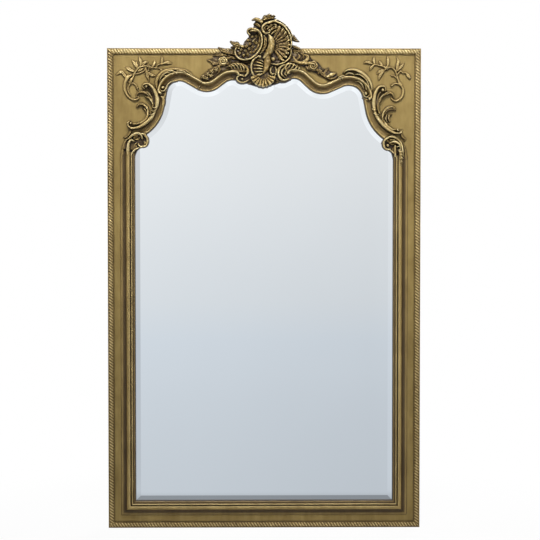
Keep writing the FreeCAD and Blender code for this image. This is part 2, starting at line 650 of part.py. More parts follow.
for side, sign in (("left", -1), ("right", 1)):
    board = doc.addObject("Part::Box", f"{side}_stile_board")
    board.setExpression("Length", stile_width.formula)
    board.setExpression("Width", thickness.formula)
    board.setExpression("Height", size("frame_height").formula)
    board_x = -half_width if sign < 0 else inner_half
    board.setExpression("Placement.Base.x", board_x.formula)
    board.setExpression("Placement.Base.y", (-thickness).formula)
    board.setExpression("Placement.Base.z", (-half_height).formula)
    rebate = doc.addObject("Part::Box", f"{side}_stile_rebate")
    rebate_height = backboard_top + size("backboard_gap") - backboard_bottom + size("backboard_gap")
    rebate_x = (-inner_half - size("backboard_ledge")) if sign < 0 else inner_half
    rebate.setExpression("Length", size("backboard_ledge").formula)
    rebate.setExpression("Width", size("backboard_thickness").formula)
    rebate.setExpression("Height", rebate_height.formula)
    rebate.setExpression("Placement.Base.x", rebate_x.formula)
    rebate.setExpression("Placement.Base.y", (-size("backboard_thickness")).formula)
    rebate.setExpression("Placement.Base.z", (backboard_bottom - size("backboard_gap")).formula)
    rebated = doc.addObject("Part::Cut", f"{side}_stile_rebated")
    rebated.Base = board
    rebated.Tool = rebate
    inner_x = inner_half * sign
    into_board = POINTING_LEFT if sign < 0 else POINTING_RIGHT
    middle = -(thickness + size("backboard_thickness")) / 2
    holes = [((inner_x, middle, height), into_board, dowel_hole, dowel_depth) for height in dowel_places]
    for height in side_screw_heights:
        holes.append(((screw_side * sign, NIL, height), POINTING_FORWARD, screw_hole, screw_hole_depth))
    for height in strap_screw_heights:
        holes.append(((hanger_side * sign, NIL, height), POINTING_FORWARD, screw_hole, strap_screw_length))
    keep(drill(f"{side}_stile", rebated, holes), f"{side}_stile")

rail = add_body("bottom_rail_board", (-inner_half, NIL, -half_height), SIDE_TURN["bottom"])
rail_profile = add_sketch(rail, "XY_Plane", "bottom_rail_profile")
draw_outline(rail_profile, [
    (NIL, NIL), (NIL, thickness), (stile_width, thickness), (stile_width, size("backboard_thickness")),
    (ledge_width, size("backboard_thickness")), (ledge_width, NIL),
])
add_pad(rail, rail_profile, inner_half * 2, "bottom_rail_length")
board_middle = -(thickness + size("backboard_thickness")) / 2
rail_holes = []
for height in dowel_places[2:]:
    rail_holes.append(((-inner_half, board_middle, height), POINTING_RIGHT, dowel_hole, dowel_depth))
    rail_holes.append(((inner_half, board_middle, height), POINTING_LEFT, dowel_hole, dowel_depth))
for across in rail_screw_places:
    rail_holes.append(((across, NIL, screw_low), POINTING_FORWARD, screw_hole, screw_hole_depth))
keep(drill("bottom_rail", rail, rail_holes), "bottom_rail")


# The sight line: straight sides and a belt of tangent arcs, offset towards the frame by any distance
Stretch = namedtuple("Stretch", "centre radius turn heading_in heading_out")


def right_of(heading):
    return Vector(math.sin(heading), 0, -math.cos(heading))


def on_arc(stretch, heading):
    return stretch.centre - right_of(heading) * stretch.radius * stretch.turn


def sight_arcs(offset):
    circles = []
    for across, up, radius, turn in SIGHT_CIRCLES_PIXELS:
        circles.append([place((across, up)), radius * carving_scale, turn])
    circles[0][0].x = -sight_half.number + circles[0][1]
    circles[-1][0].x = sight_half.number - circles[-1][1]
    headings = [math.pi / 2]
    for (near, near_radius, near_turn), (far, far_radius, far_turn) in zip(circles, circles[1:]):
        step = far - near
        lean = (far_turn * far_radius - near_turn * near_radius) / step.Length
        headings.append(math.atan2(step.z, step.x) + math.asin(lean))
    headings.append(-math.pi / 2)
    return [
        Stretch(centre, radius + turn * offset, turn, headings[count], headings[count + 1])
        for count, (centre, radius, turn) in enumerate(circles)
    ]


def lifted(point, depth):
    return Vector(point.x, depth, point.z)


def arc_edge(stretch, heading_in, heading_out, depth):
    middle = (heading_in + heading_out) / 2
    points = [lifted(on_arc(stretch, heading), depth) for heading in (heading_in, middle, heading_out)]
    return Part.Arc(*points).toShape()


def line_edge(first, last):
    return Part.LineSegment(first, last).toShape()


def belt_edges(stretches, depth):
    """Arcs and the tangent lines between them, from the first stretch to the last."""
    edges = []
    for count, stretch in enumerate(stretches):
        if count:
            before = stretches[count - 1]
            edges.append(line_edge(
                lifted(on_arc(before, before.heading_out), depth),
                lifted(on_arc(stretch, stretch.heading_in), depth),
            ))
        edges.append(arc_edge(stretch, stretch.heading_in, stretch.heading_out, depth))
    return edges


def plate_wire(offset, depth):
    """The whole sight outline at one offset: shaped top, straight sides and square bottom corners."""
    stretches = sight_arcs(offset)
    side = sight_half.number + offset
    foot = sight_width.number - half_height.number - offset
    top_edges = belt_edges(stretches, depth)
    low_left = Vector(-side, depth, foot)
    low_right = Vector(side, depth, foot)
    start = lifted(on_arc(stretches[0], stretches[0].heading_in), depth)
    end = lifted(on_arc(stretches[-1], stretches[-1].heading_out), depth)
    rise = [line_edge(low_left, start)]
    fall = [line_edge(end, low_right), line_edge(low_right, low_left)]
    return Part.Wire(rise + top_edges + fall)


def plate_prism(offset, depth, height):
    return Part.Face(plate_wire(offset, depth)).extrude(Vector(0, height, 0))


def screw_solid(length, grow=0.0):
    """A countersunk screw along -Y from the origin, or the hole that takes it where grow is a clearance."""
    head = size("screw_head_diameter").number / 2 + grow
    shank = size("screw_diameter").number / 2 + grow
    neck = size("screw_head_height").number
    tip = Vector(0, -length, 0)
    outline = [Vector(0, 0, 0), Vector(head, 0, 0), Vector(shank, -neck, 0), Vector(shank, -length, 0), tip]
    return Part.Face(Part.makePolygon(outline + outline[:1])).revolve(Vector(0, 0, 0), Vector(0, 1, 0), 360)


def screws_at(places, length, depth=0.0, grow=0.0):
    placed = []
    for across, height in places:
        screw = screw_solid(length, grow)
        screw.translate(Vector(across.number, depth, height.number))
        placed.append(screw)
    return placed


header_board = doc.addObject("Part::Box", "header_board")
header_foot = place((CENTRE_PIXEL, HEADER_LEG_PIXELS)).z
header_board.setExpression("Length", (inner_half * 2).formula)
header_board.setExpression("Width", thickness.formula)
header_board.Height = half_height.number - header_foot
header_board.Placement = Placement(Vector(-inner_half.number, ground, header_foot), Rotation())
header_cut = doc.addObject("Part::Feature", "header_serpentine")
header_cut.Shape = plate_prism(rebate_cover.number, ground - thickness.number, thickness.number * 3)
header_rebate = doc.addObject("Part::Box", "header_rebate")
header_rebate.setExpression("Length", (inner_half * 2).formula)
header_rebate.setExpression("Width", size("backboard_thickness").formula)
header_rebate.Height = backboard_top.number + size("backboard_gap").number - header_foot
header_rebate.Placement = Placement(
    Vector(-inner_half.number, -size("backboard_thickness").number, header_foot), Rotation()
)
header_tools = doc.addObject("Part::MultiFuse", "header_waste")
header_tools.Shapes = [header_cut, header_rebate]
header_shaped = doc.addObject("Part::Cut", "header_shaped")
header_shaped.Base = header_board
header_shaped.Tool = header_tools
crest_screw_height = half_height - size("crest_screw_rise")
crest_screw_places = [-size("crest_screw_spacing") / 2, size("crest_screw_spacing") / 2]
header_holes = []
for height in dowel_places[:2]:
    header_holes.append(((-inner_half, board_middle, height), POINTING_RIGHT, dowel_hole, dowel_depth))
    header_holes.append(((inner_half, board_middle, height), POINTING_LEFT, dowel_hole, dowel_depth))
for across in rail_screw_places:
    header_holes.append(((across, NIL, screw_high), POINTING_FORWARD, screw_hole, screw_hole_depth))
header_drilled = drill("header_drilled", header_shaped, header_holes)
crest_screw_points = [(across, crest_screw_height) for across in crest_screw_places]
crest_screw_length = size("crest_screw_length").number
crest_screw_holes = screws_at(crest_screw_points, crest_screw_length, 0.0, size("screw_clearance").number)
header_sinks = doc.addObject("Part::Feature", "header_sinks")
header_sinks.Shape = Part.makeCompound(crest_screw_holes)
header_panel = doc.addObject("Part::Cut", "header_panel")
header_panel.Base = header_drilled
header_panel.Tool = header_sinks
keep(header_panel, "header_panel")

dowels = []
for height in dowel_places:
    for sign in (-1, 1):
        dowel = doc.addObject("Part::Cylinder", "dowel")
        dowel.setExpression("Radius", dowel_hole.formula)
        dowel.setExpression("Height", size("dowel_length").formula)
        dowel_start = inner_half * sign - size("dowel_length") / 2
        dowel.Placement = Placement(
            Vector(dowel_start.number, board_middle.number, height.number), POINTING_RIGHT
        )
        dowel.setExpression("Placement.Base.x", dowel_start.formula)
        dowel.setExpression("Placement.Base.y", board_middle.formula)
        dowel.setExpression("Placement.Base.z", height.formula)
        dowels.append(dowel)
dowel_pins = doc.addObject("Part::Compound", "dowel_pins")
dowel_pins.Links = dowels
keep(dowel_pins, "dowel_pins")

# Rope border round the outer edge: flat lands beside a half-round that carries the twist
ROPE_RADIUS_SHARE = 0.62
rope_top = thickness + size("rope_base")
rope_round = size("rope_width") - size("rope_land") * 2
rope_profile = (
    [
        (NIL, thickness), (NIL, rope_top), (size("rope_land"), rope_top),
        (size("rope_width") - size("rope_land"), rope_top), (size("rope_width"), rope_top),
        (size("rope_width"), thickness),
    ],
    {2: (rope_round * ROPE_RADIUS_SHARE, 1)},
)
left_stop = as_size(-place((ROPE_STOP_PIXELS["left"], TOP_PIXEL)).x)
right_stop = as_size(place((ROPE_STOP_PIXELS["right"], TOP_PIXEL)).x)
top_left = (-half_width, NIL, half_height)
low_left = (-half_width, NIL, -half_height)
low_right = (half_width, NIL, -half_height)
top_right = (half_width, NIL, half_height)
mitred_length("rope_border_left", "left", top_left, size("frame_height"), rope_profile, ("start", "end"))
mitred_length("rope_border_bottom", "bottom", low_left, size("frame_width"), rope_profile, ("start", "end"))
mitred_length("rope_border_right", "right", low_right, size("frame_height"), rope_profile, ("start", "end"))
mitred_length("rope_border_top_right", "top", top_right, half_width - right_stop, rope_profile, ("start",))
top_stop = (-left_stop, NIL, half_height)
mitred_length("rope_border_top_left", "top", top_stop, half_width - left_stop, rope_profile, ("end",))

# Straight sight mouldings: toe, cove, ridge, quirk and bead down to the lip over the glass
COVE_RADIUS_SHARE = 0.75
RIDGE_RADIUS_SHARE = 0.6
BEAD_RADIUS_SHARE = 0.6
toe_edge = moulding_start + size("toe_land")
cove_edge = toe_edge + size("cove_width")
ridge_edge = cove_edge + size("ridge_width")
quirk_edge = ridge_edge + size("quirk_width")
bead_edge = quirk_edge + size("bead_width")
toe_top = thickness + size("toe_height")
cove_top = toe_top + size("cove_rise")
ridge_end = cove_top - size("ridge_drop")
quirk_floor = ridge_end - size("quirk_depth")
bead_end = quirk_floor - size("bead_drop")
lip_top = thickness + size("lip_height")
moulding_profile = (
    [
        (moulding_start, thickness), (moulding_start, toe_top), (toe_edge, toe_top), (cove_edge, cove_top),
        (ridge_edge, ridge_end), (ridge_edge, quirk_floor), (quirk_edge, quirk_floor), (bead_edge, bead_end),
        (sight_width, lip_top), (sight_width, thickness),
    ],
    {
        2: (chord(size("cove_width"), size("cove_rise")) * COVE_RADIUS_SHARE, -1),
        3: (chord(size("ridge_width"), size("ridge_drop")) * RIDGE_RADIUS_SHARE, 1),
        6: (chord(size("bead_width"), size("bead_drop")) * BEAD_RADIUS_SHARE, 1),
    },
)


def side_moulding_length(side):
    return place((CENTRE_PIXEL, SIDE_FOOT_PIXELS[side])).z + half_height.number


left_length = as_size(side_moulding_length("left"))
right_length = as_size(side_moulding_length("right"))
left_head = (-half_width, NIL, left_length - half_height)
mitred_length("sight_moulding_left", "left", left_head, left_length, moulding_profile, ("end",))
both_ends = ("start", "end")
mitred_length("sight_moulding_bottom", "bottom", low_left, size("frame_width"), moulding_profile, both_ends)
mitred_length("sight_moulding_right", "right", low_right, right_length, moulding_profile, ("start",))

# Mirror plate with its bevel, resting on two blocks and pressed forward by packing strips
edge_thickness = size("glass_thickness").number - size("bevel_depth").number
glass_front = ground + size("overhang_gap").number
glass_shoulder = glass_front + size("bevel_depth").number
glass_back = glass_front + size("glass_thickness").number
plate_offset = size("lip_cover").number
bevel_offset = plate_offset - size("bevel_width").number
glass = Part.makeLoft(
    [
        plate_wire(plate_offset, glass_back),
        plate_wire(plate_offset, glass_shoulder),
        plate_wire(bevel_offset, glass_front),
    ],
    True, True,
)
keep_shape(glass, "mirror_glass")

# Soft tape on the back of the lip, which the edge of the bevel presses against
tape_outer = (size("lip_cover").number + size("tape_width").number) / 2
tape_inner = tape_outer - size("tape_width").number
tape_reach_share = (plate_offset - tape_inner) / size("bevel_width").number
tape_back = glass_shoulder - size("bevel_depth").number * tape_reach_share - size("tape_gap").number
tape_face = Part.Face(plate_wire(tape_outer, ground)).cut(Part.Face(plate_wire(tape_inner, ground)))
keep_shape(tape_face.extrude(Vector(0, tape_back - ground, 0)), "rebate_tape")

block_foot = stile_width - half_height
blocks = []
for sign in (-1, 1):
    block = doc.addObject("Part::Box", "setting_block")
    block_start = (inner_half - size("setting_block_inset")) * sign - size("setting_block_length") / 2
    block.setExpression("Length", size("setting_block_length").formula)
    block.Width = edge_thickness
    block.setExpression("Height", size("glass_gap").formula)
    block.Placement = Placement(Vector(block_start.number, glass_shoulder, block_foot.number), Rotation())
    block.setExpression("Placement.Base.x", block_start.formula)
    block.setExpression("Placement.Base.z", block_foot.formula)
    blocks.append(block)
setting_blocks = doc.addObject("Part::Compound", "glass_setting_blocks")
setting_blocks.Links = blocks
keep(setting_blocks, "glass_setting_blocks")

packing_side = sight_half - size("packing_inset") - size("packing_width")
packing_foot = sight_width + size("packing_inset") - half_height
packing_head = half_height - size("header_height")
strip_length = packing_head - packing_foot
strips = [
    (-packing_side - size("packing_width"), packing_foot, size("packing_width"), strip_length),
    (packing_side, packing_foot, size("packing_width"), strip_length),
    (-packing_side, packing_foot, packing_side * 2, size("packing_width")),
    (-packing_side, packing_head - size("packing_width"), packing_side * 2, size("packing_width")),
]
strip_depth = -size("backboard_thickness").number - glass_back
packing = []
for across, up, width, height in strips:
    strip = doc.addObject("Part::Box", "packing_strip")
    strip.setExpression("Length", width.formula)
    strip.Width = strip_depth
    strip.setExpression("Height", height.formula)
    strip.Placement = Placement(Vector(across.number, glass_back, up.number), Rotation())
    strip.setExpression("Placement.Base.x", across.formula)
    strip.setExpression("Placement.Base.z", up.formula)
    packing.append(strip)
glass_packing = doc.addObject("Part::Compound", "glass_packing")
glass_packing.Links = packing
keep(glass_packing, "glass_packing")

# Backboard in its ledge, with countersunk screws flush at the back
screw_places = [(screw_side * sign, height) for sign in (-1, 1) for height in side_screw_heights]
screw_places += [(across, height) for across in rail_screw_places for height in (screw_low, screw_high)]
back_blank = doc.addObject("Part::Box", "backboard_blank")
back_blank.setExpression("Length", (backboard_half * 2).formula)
back_blank.setExpression("Width", size("backboard_thickness").formula)
back_blank.setExpression("Height", (backboard_top - backboard_bottom).formula)
back_blank.setExpression("Placement.Base.x", (-backboard_half).formula)
back_blank.setExpression("Placement.Base.y", (-size("backboard_thickness")).formula)
back_blank.setExpression("Placement.Base.z", backboard_bottom.formula)
back_holes = doc.addObject("Part::Feature", "backboard_holes")
back_holes.Shape = Part.makeCompound(
    screws_at(screw_places, size("screw_length").number, 0.0, size("screw_clearance").number)
)
backboard = doc.addObject("Part::Cut", "backboard")
backboard.Base = back_blank
backboard.Tool = back_holes
keep(backboard, "backboard")
keep_shape(Part.makeCompound(screws_at(screw_places, size("screw_length").number)), "backboard_screws")

# Carving: fronds are lofts along a drawn line, bosses are turned, fans are rows of widening ribs
def curve_through(points):
    curve = Part.BSplineCurve()
    curve.interpolate(points)
    return curve


def spread(values, share):
    """The value at a share of the way along a short list."""
    position = share * (len(values) - 1)
    index = min(int(position), len(values) - 2)
    blend = position - index
    return values[index] * (1 - blend) + values[index + 1] * blend


def frond_section(centre, across, half, rise):
    wall = rise - min(rise * CROWN_SHARE, half * CROWN_ROUND_SHARE)
    forward = Vector(0, -1, 0)
    low_one = centre - across * half
    low_two = centre + across * half
    high_one = low_one + forward * wall
    high_two = low_two + forward * wall
    crown = Part.Arc(high_two, centre + forward * rise, high_one).toShape()
    sides = [line_edge(low_two, high_two), crown, line_edge(high_one, low_one)]
    return Part.Wire([line_edge(low_one, low_two)] + sides)


def frond_stations(frond):
    """Places along a frond: the point, the direction across, the half width and the rise."""
    curve = curve_through([place(pixel) for pixel in frond.path_pixels])
    stations = []
    for point in curve.toShape().discretize(Number=STATIONS_PER_POINT * len(frond.path_pixels)):
        along = curve.parameter(point)
        share = (along - curve.FirstParameter) / (curve.LastParameter - curve.FirstParameter)
        tangent = curve.tangent(along)[0]
        half = spread(frond.half_width_pixels, share) * carving_scale
        rise = spread(frond.rise_shares, share) * relief
        stations.append((point, Vector(-tangent.z, 0, tangent.x), half, rise))
    return stations


def frond_solid(frond):
    return outward(Part.makeLoft([frond_section(*station) for station in frond_stations(frond)], True, False))


def boss_solid(boss):
    centre = place(boss.centre_pixels)
    radius = boss.radius_pixels * carving_scale
    rise = boss.rise_share * relief
    crown_rise = min(rise * CROWN_SHARE, radius * CROWN_ROUND_SHARE)
    ball = (radius ** 2 + crown_rise ** 2) / (crown_rise * 2)
    turn = math.asin(radius / ball) / 2
    low = centre + Vector(radius, 0, 0)
    high = low + Vector(0, crown_rise - rise, 0)
    top = centre + Vector(0, -rise, 0)
    bulge = top + Vector(ball * math.sin(turn), ball * (1 - math.cos(turn)), 0)
    crown = Part.Arc(high, bulge, top).toShape()
    edges = [line_edge(centre, low), line_edge(low, high), crown, line_edge(top, centre)]
    return outward(Part.Face(Part.Wire(edges)).revolve(centre, Vector(0, 1, 0), 360))


def fan_ribs(fan):
    """Ribs that widen outwards from a centre, with a groove left between neighbours."""
    ribs = []
    step = (fan.last_degrees - fan.first_degrees) / (fan.ribs - 1)
    rim_half = fan.far_pixels * math.radians(step) / 2 * FAN_RIB_SHARE
    near_half = rim_half * FAN_NARROW_SHARE
    for count in range(fan.ribs):
        angle = math.radians(fan.first_degrees + step * count)
        path = []
        for radius in (fan.near_pixels, (fan.near_pixels + fan.far_pixels) / 2, fan.far_pixels):
            across = fan.centre_pixels[0] + radius * math.cos(angle)
            path.append((across, fan.centre_pixels[1] - radius * math.sin(angle)))
        rises = [fan.rise_share, fan.rise_share, fan.rise_share * FAN_RIM_SHARE]
        ribs.append(Frond(path, [near_half, (near_half + rim_half) / 2, rim_half], rises))
    return ribs


def outward(solid):
    if solid.Volume < 0:
        solid.reverse()
    return solid


def carved(pieces):
    return [frond_solid(piece) if isinstance(piece, Frond) else boss_solid(piece) for piece in pieces]


def plan_face(piece):
    """The outline of a piece where it stands on the ground."""
    if isinstance(piece, Boss):
        radius = piece.radius_pixels * carving_scale
        return Part.Face(Part.Wire(Part.makeCircle(radius, place(piece.centre_pixels), Vector(0, 1, 0))))
    stations = frond_stations(piece)
    one_side = [point - across * half for point, across, half, rise in stations]
    other_side = [point + across * half for point, across, half, rise in reversed(stations)]
    edges = [
        curve_through(one_side).toShape(), line_edge(one_side[-1], other_side[0]),
        curve_through(other_side).toShape(), line_edge(other_side[-1], one_side[0]),
    ]
    return Part.Face(Part.Wire(edges))


def height_of(piece):
    return relief * (piece.rise_share if isinstance(piece, Boss) else max(piece.rise_shares))


def layered(pieces):
    """Leaves that cross: the higher one stands whole and the lower one ends against it."""
    solids = []
    taken = None
    for piece in sorted(pieces, key=height_of, reverse=True):
        face = plan_face(piece)
        free = face if taken is None else face.cut(taken)
        taken = face if taken is None else taken.fuse(face)
        for part in free.Faces:
            if part.Area > LEAST_AREA_SHARE * carving_scale ** 2:
                solids.append(outward(part.extrude(Vector(0, -height_of(piece), 0))))
    return solids


def run_stretches(run, offset):
    """The stretches of the sight line from a share of one arc to a share of another."""
    stretches = sight_arcs(offset)[run.first_circle:run.last_circle + 1]
    first = stretches[0]
    last = stretches[-1]
    begin = first.heading_in + (first.heading_out - first.heading_in) * run.first_share
    finish = last.heading_in + (last.heading_out - last.heading_in) * run.last_share
    stretches[0] = first._replace(heading_in=begin)
    stretches[-1] = stretches[-1]._replace(heading_out=finish)
    return stretches


def swept_band(run, corners):
    """A moulding of constant section along part of the sight line."""
    stretches = run_stretches(run, 0.0)
    path = Part.Wire(belt_edges(stretches, ground))
    heading = stretches[0].heading_in
    origin = on_arc(stretches[0], heading)
    points = [origin - right_of(heading) * across + Vector(0, -up, 0) for across, up in corners]
    return outward(path.makePipe(Part.Face(Part.makePolygon(points + points[:1]))))


COVE_SHARES = (0.55, 0.3)
LAND_SHARE = 0.16
lip = size("lip_height").number
band_width = size("band_width").number
band_height = size("band_height").number
band_inner = band_width - size("band_ridge_width").number
ridge_side = band_height * (1 - RIDGE_CROWN_SHARE)


def hollow_point(inner, outer, height):
    """The turning point of the hollow between the land at the sight edge and the ridge."""
    return (inner + (outer - inner) * COVE_SHARES[0], lip + (height - lip) * COVE_SHARES[1])


land = band_width * LAND_SHARE
SERPENTINE_SECTION = [
    (0, 0), (0, lip), (land, lip), hollow_point(land, band_inner, ridge_side), (band_inner, ridge_side),
    ((band_inner + band_width) / 2, band_height), (band_width, ridge_side), (band_width, 0),
]
corner_width = size("corner_band_width").number
CORNER_SECTION = [
    (0, 0), (0, lip), (corner_width * LAND_SHARE, lip),
    hollow_point(corner_width * LAND_SHARE, corner_width, size("corner_band_height").number),
    (corner_width, size("corner_band_height").number), (corner_width, 0),
]

for side in ("left", "right"):
    band = swept_band(SERPENTINE_RUNS[side], SERPENTINE_SECTION)
    keep_shape(Part.makeCompound([band] + carved(SERPENTINE_PIXELS[side])), f"serpentine_moulding_{side}")
    band = swept_band(CORNER_RUNS[side], CORNER_SECTION)
    keep_shape(Part.makeCompound([band] + carved(CORNER_PIXELS[side])), f"corner_scroll_{side}")
    keep_shape(Part.makeCompound(layered(CAPITAL_PIXELS[side])), f"capital_{side}")
    keep_shape(Part.makeCompound(layered(SPRAY_PIXELS[side])), f"foliage_spray_{side}")
    keep_shape(Part.makeCompound(layered(GARLAND_PIXELS[side])), f"rose_garland_{side}")

# Crest: a plate with the outline of the leaves, drilled for its screws, and the shell and scrolls on its face
crest_curves = [curve_through([place(pixel) for pixel in stretch]) for stretch in CREST_OUTLINE_PIXELS]
crest_edges = [curve.toShape() for curve in crest_curves]
crest_front = Vector(0, -size("crest_thickness").number, 0)
crest_plate = outward(Part.Face(Part.Wire(crest_edges)).extrude(crest_front))
for hole in crest_screw_holes:
    crest_plate = crest_plate.cut(hole)
crest_pieces = CREST_PIXELS + [rib for fan in CREST_FANS for rib in fan_ribs(fan)]
for pixel in CREST_FLOWERS_PIXELS:
    crest_pieces.append(Boss(pixel, CREST_FLOWER_RADIUS_PIXELS, CREST_FLOWER_SHARE))
crest_solids = carved(crest_pieces)
for solid in crest_solids:
    solid.translate(crest_front)
keep_shape(crest_plate, "crest_plate")
keep_shape(Part.makeCompound(crest_solids), "crest_carving")
keep_shape(Part.makeCompound(screws_at(crest_screw_points, crest_screw_length)), "crest_screws")

# Hangers on the back of the stiles: a strap with a rolled barrel, and a ring that swings in it
wire_radius = size("ring_wire") / 2
bore_radius = wire_radius + size("ring_clearance")
barrel_depth = barrel_radius
strap_screws = []
for side, sign in (("left", -1), ("right", 1)):
    across = hanger_side * sign
    strap = add_body(f"hanger_strap_{side}_plate", (across, NIL, hanger_height), Rotation())
    strap_outline = add_sketch(strap, "XZ_Plane", f"hanger_strap_{side}_outline")
    draw_rectangle(
        strap_outline,
        (-size("strap_width") / 2, -barrel_radius - size("strap_length")),
        (size("strap_width") / 2, -barrel_radius / 2),
    )
    strap_pad = add_pad(strap, strap_outline, size("strap_thickness"), f"hanger_strap_{side}_pad")
    strap_pad.Reversed = True
    barrel = doc.addObject("Part::Cylinder", f"hanger_strap_{side}_barrel")
    bore = doc.addObject("Part::Cylinder", f"hanger_strap_{side}_bore")
    for cylinder, radius, length in (
        (barrel, barrel_radius, size("barrel_length")),
        (bore, bore_radius, size("strap_width") + size("overrun")),
    ):
        cylinder.setExpression("Radius", radius.formula)
        cylinder.setExpression("Height", length.formula)
        start = (across - length / 2, barrel_depth, hanger_height)
        cylinder.Placement = Placement(Vector(*[axis.number for axis in start]), POINTING_RIGHT)
        for axis, value in zip("xyz", start):
            cylinder.setExpression(f"Placement.Base.{axis}", value.formula)
    rolled = doc.addObject("Part::Fuse", f"hanger_strap_{side}_rolled")
    rolled.Base = strap
    rolled.Tool = barrel
    bored = doc.addObject("Part::Cut", f"hanger_strap_{side}_bored")
    bored.Base = rolled
    bored.Tool = bore
    places = [(across, height) for height in strap_screw_heights]
    sinks = doc.addObject("Part::Feature", f"hanger_strap_{side}_sinks")
    strap_face = size("strap_thickness").number
    sinks.Shape = Part.makeCompound(
        screws_at(places, strap_screw_length.number, strap_face, size("screw_clearance").number)
    )
    finished = doc.addObject("Part::Cut", f"hanger_strap_{side}")
    finished.Base = bored
    finished.Tool = sinks
    keep(finished, f"hanger_strap_{side}")
    strap_screws += screws_at(places, strap_screw_length.number, strap_face)
    half_bar = size("ring_width").number / 2
    corner = size("ring_corner").number
    top = size("ring_height").number
    middle = Vector(across.number, barrel_depth.number, hanger_height.number)
    slant = math.sqrt(0.5)

    def ring_point(right, up):
        return middle + Vector(right, 0, up)

    bow = half_bar
    shoulder = top - bow
    path = Part.Wire([
        line_edge(ring_point(0, 0), ring_point(half_bar - corner, 0)),
        Part.Arc(
            ring_point(half_bar - corner, 0),
            ring_point(half_bar - corner + corner * slant, corner - corner * slant),
            ring_point(half_bar, corner),
        ).toShape(),
        line_edge(ring_point(half_bar, corner), ring_point(half_bar, shoulder)),
        Part.Arc(
            ring_point(half_bar, shoulder), ring_point(0, top), ring_point(-half_bar, shoulder),
        ).toShape(),
        line_edge(ring_point(-half_bar, shoulder), ring_point(-half_bar, corner)),
        Part.Arc(
            ring_point(-half_bar, corner),
            ring_point(-half_bar + corner - corner * slant, corner - corner * slant),
            ring_point(-half_bar + corner, 0),
        ).toShape(),
        line_edge(ring_point(-half_bar + corner, 0), ring_point(0, 0)),
    ])
    section = Part.Face(Part.Wire(Part.makeCircle(wire_radius.number, middle, Vector(1, 0, 0))))
    keep_shape(outward(path.makePipe(section)), f"hanger_ring_{side}")
keep_shape(Part.makeCompound(strap_screws), "hanger_screws")

# Bumpers hold the foot of the frame as far off the wall as the hangers stand
bumpers = []
bumper_height = barrel_radius * 2
for sign in (-1, 1):
    bumper = doc.addObject("Part::Cone", "bumper")
    bumper.setExpression("Radius1", (size("bumper_diameter") / 2).formula)
    bumper.setExpression("Radius2", (size("bumper_diameter") / 2 - size("bumper_taper")).formula)
    bumper.setExpression("Height", bumper_height.formula)
    start = (hanger_side * sign, NIL, size("bumper_rise") - half_height)
    bumper.Placement = Placement(Vector(*[axis.number for axis in start]), Rotation(Vector(1, 0, 0), -90))
    for axis, value in zip("xyz", start):
        bumper.setExpression(f"Placement.Base.{axis}", value.formula)
    bumpers.append(bumper)
wall_bumpers = doc.addObject("Part::Compound", "wall_bumpers")
wall_bumpers.Links = bumpers
keep(wall_bumpers, "wall_bumpers")

doc.recompute()
faults = []
for item in doc.Objects:
    if {"Invalid", "Error"} & set(item.State):
        faults.append(f"{item.Label}: {item.State}")
for item in nodes:
    if item.Shape.isNull() or not item.Shape.isValid():
        faults.append(f"{item.Label}: shape not usable")
if faults:
    raise RuntimeError("; ".join(faults))
for item in nodes:
    item.Shape.exportStep(f"parts/{item.Label}.step")
    print(item.Label, len(item.Shape.Solids), round(item.Shape.Volume))
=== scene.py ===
"""Studio scene of the carved and gilded wall mirror: carving, rope border, mouldings, bevelled plate."""
import math
from collections import namedtuple

import bpy
import numpy as np
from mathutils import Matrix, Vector


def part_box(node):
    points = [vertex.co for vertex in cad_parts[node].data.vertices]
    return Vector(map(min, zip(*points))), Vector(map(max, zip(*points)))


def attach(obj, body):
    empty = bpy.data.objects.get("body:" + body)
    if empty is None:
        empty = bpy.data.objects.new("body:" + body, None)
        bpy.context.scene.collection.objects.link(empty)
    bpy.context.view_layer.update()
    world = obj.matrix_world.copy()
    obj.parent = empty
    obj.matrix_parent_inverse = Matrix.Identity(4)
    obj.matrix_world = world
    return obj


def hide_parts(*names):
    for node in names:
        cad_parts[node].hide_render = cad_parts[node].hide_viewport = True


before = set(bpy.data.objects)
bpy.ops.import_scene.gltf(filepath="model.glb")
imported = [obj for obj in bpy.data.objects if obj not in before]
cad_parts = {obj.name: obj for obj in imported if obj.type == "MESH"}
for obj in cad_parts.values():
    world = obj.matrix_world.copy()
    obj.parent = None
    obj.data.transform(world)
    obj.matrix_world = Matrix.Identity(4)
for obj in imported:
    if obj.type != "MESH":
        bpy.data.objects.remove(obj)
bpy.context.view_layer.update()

ROOT = "frame"
MM = 0.001

# The photograph's pixels on the object: read from the front view of 540 by 540
CENTRE_PIXEL = 264.3
SIGHT_HALF_PIXELS = 129.2
TOP_PIXEL = 48.5
LEFT_HEAD_PIXEL = 152.0
stile_low, stile_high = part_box("left_stile")
half_width = -stile_low[0]
half_height = stile_high[2]
ground = stile_low[1]
side_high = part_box("sight_moulding_left")[1]
sight_half = -side_high[0]
across_scale = sight_half / SIGHT_HALF_PIXELS
upright_scale = (half_height - side_high[2]) / (LEFT_HEAD_PIXEL - TOP_PIXEL)


def place(across_pixels, down_pixels, height):
    """A pixel of the front view as a point, a height in metres in front of the ground."""
    x = (across_pixels - CENTRE_PIXEL) * across_scale
    z = half_height - (down_pixels - TOP_PIXEL) * upright_scale
    return x, ground - height, z


# Materials
def new_material(name):
    material = bpy.data.materials.new(name)
    material.use_nodes = True
    nodes = material.node_tree.nodes
    return material, nodes, material.node_tree.links, nodes["Principled BSDF"]


def colour_ramp(nodes, stops):
    ramp = nodes.new("ShaderNodeValToRGB")
    elements = ramp.color_ramp.elements
    while len(elements) < len(stops):
        elements.new(0.5)
    for element, (position, colour) in zip(elements, stops):
        element.position = position
        element.color = (*colour, 1.0)
    return ramp


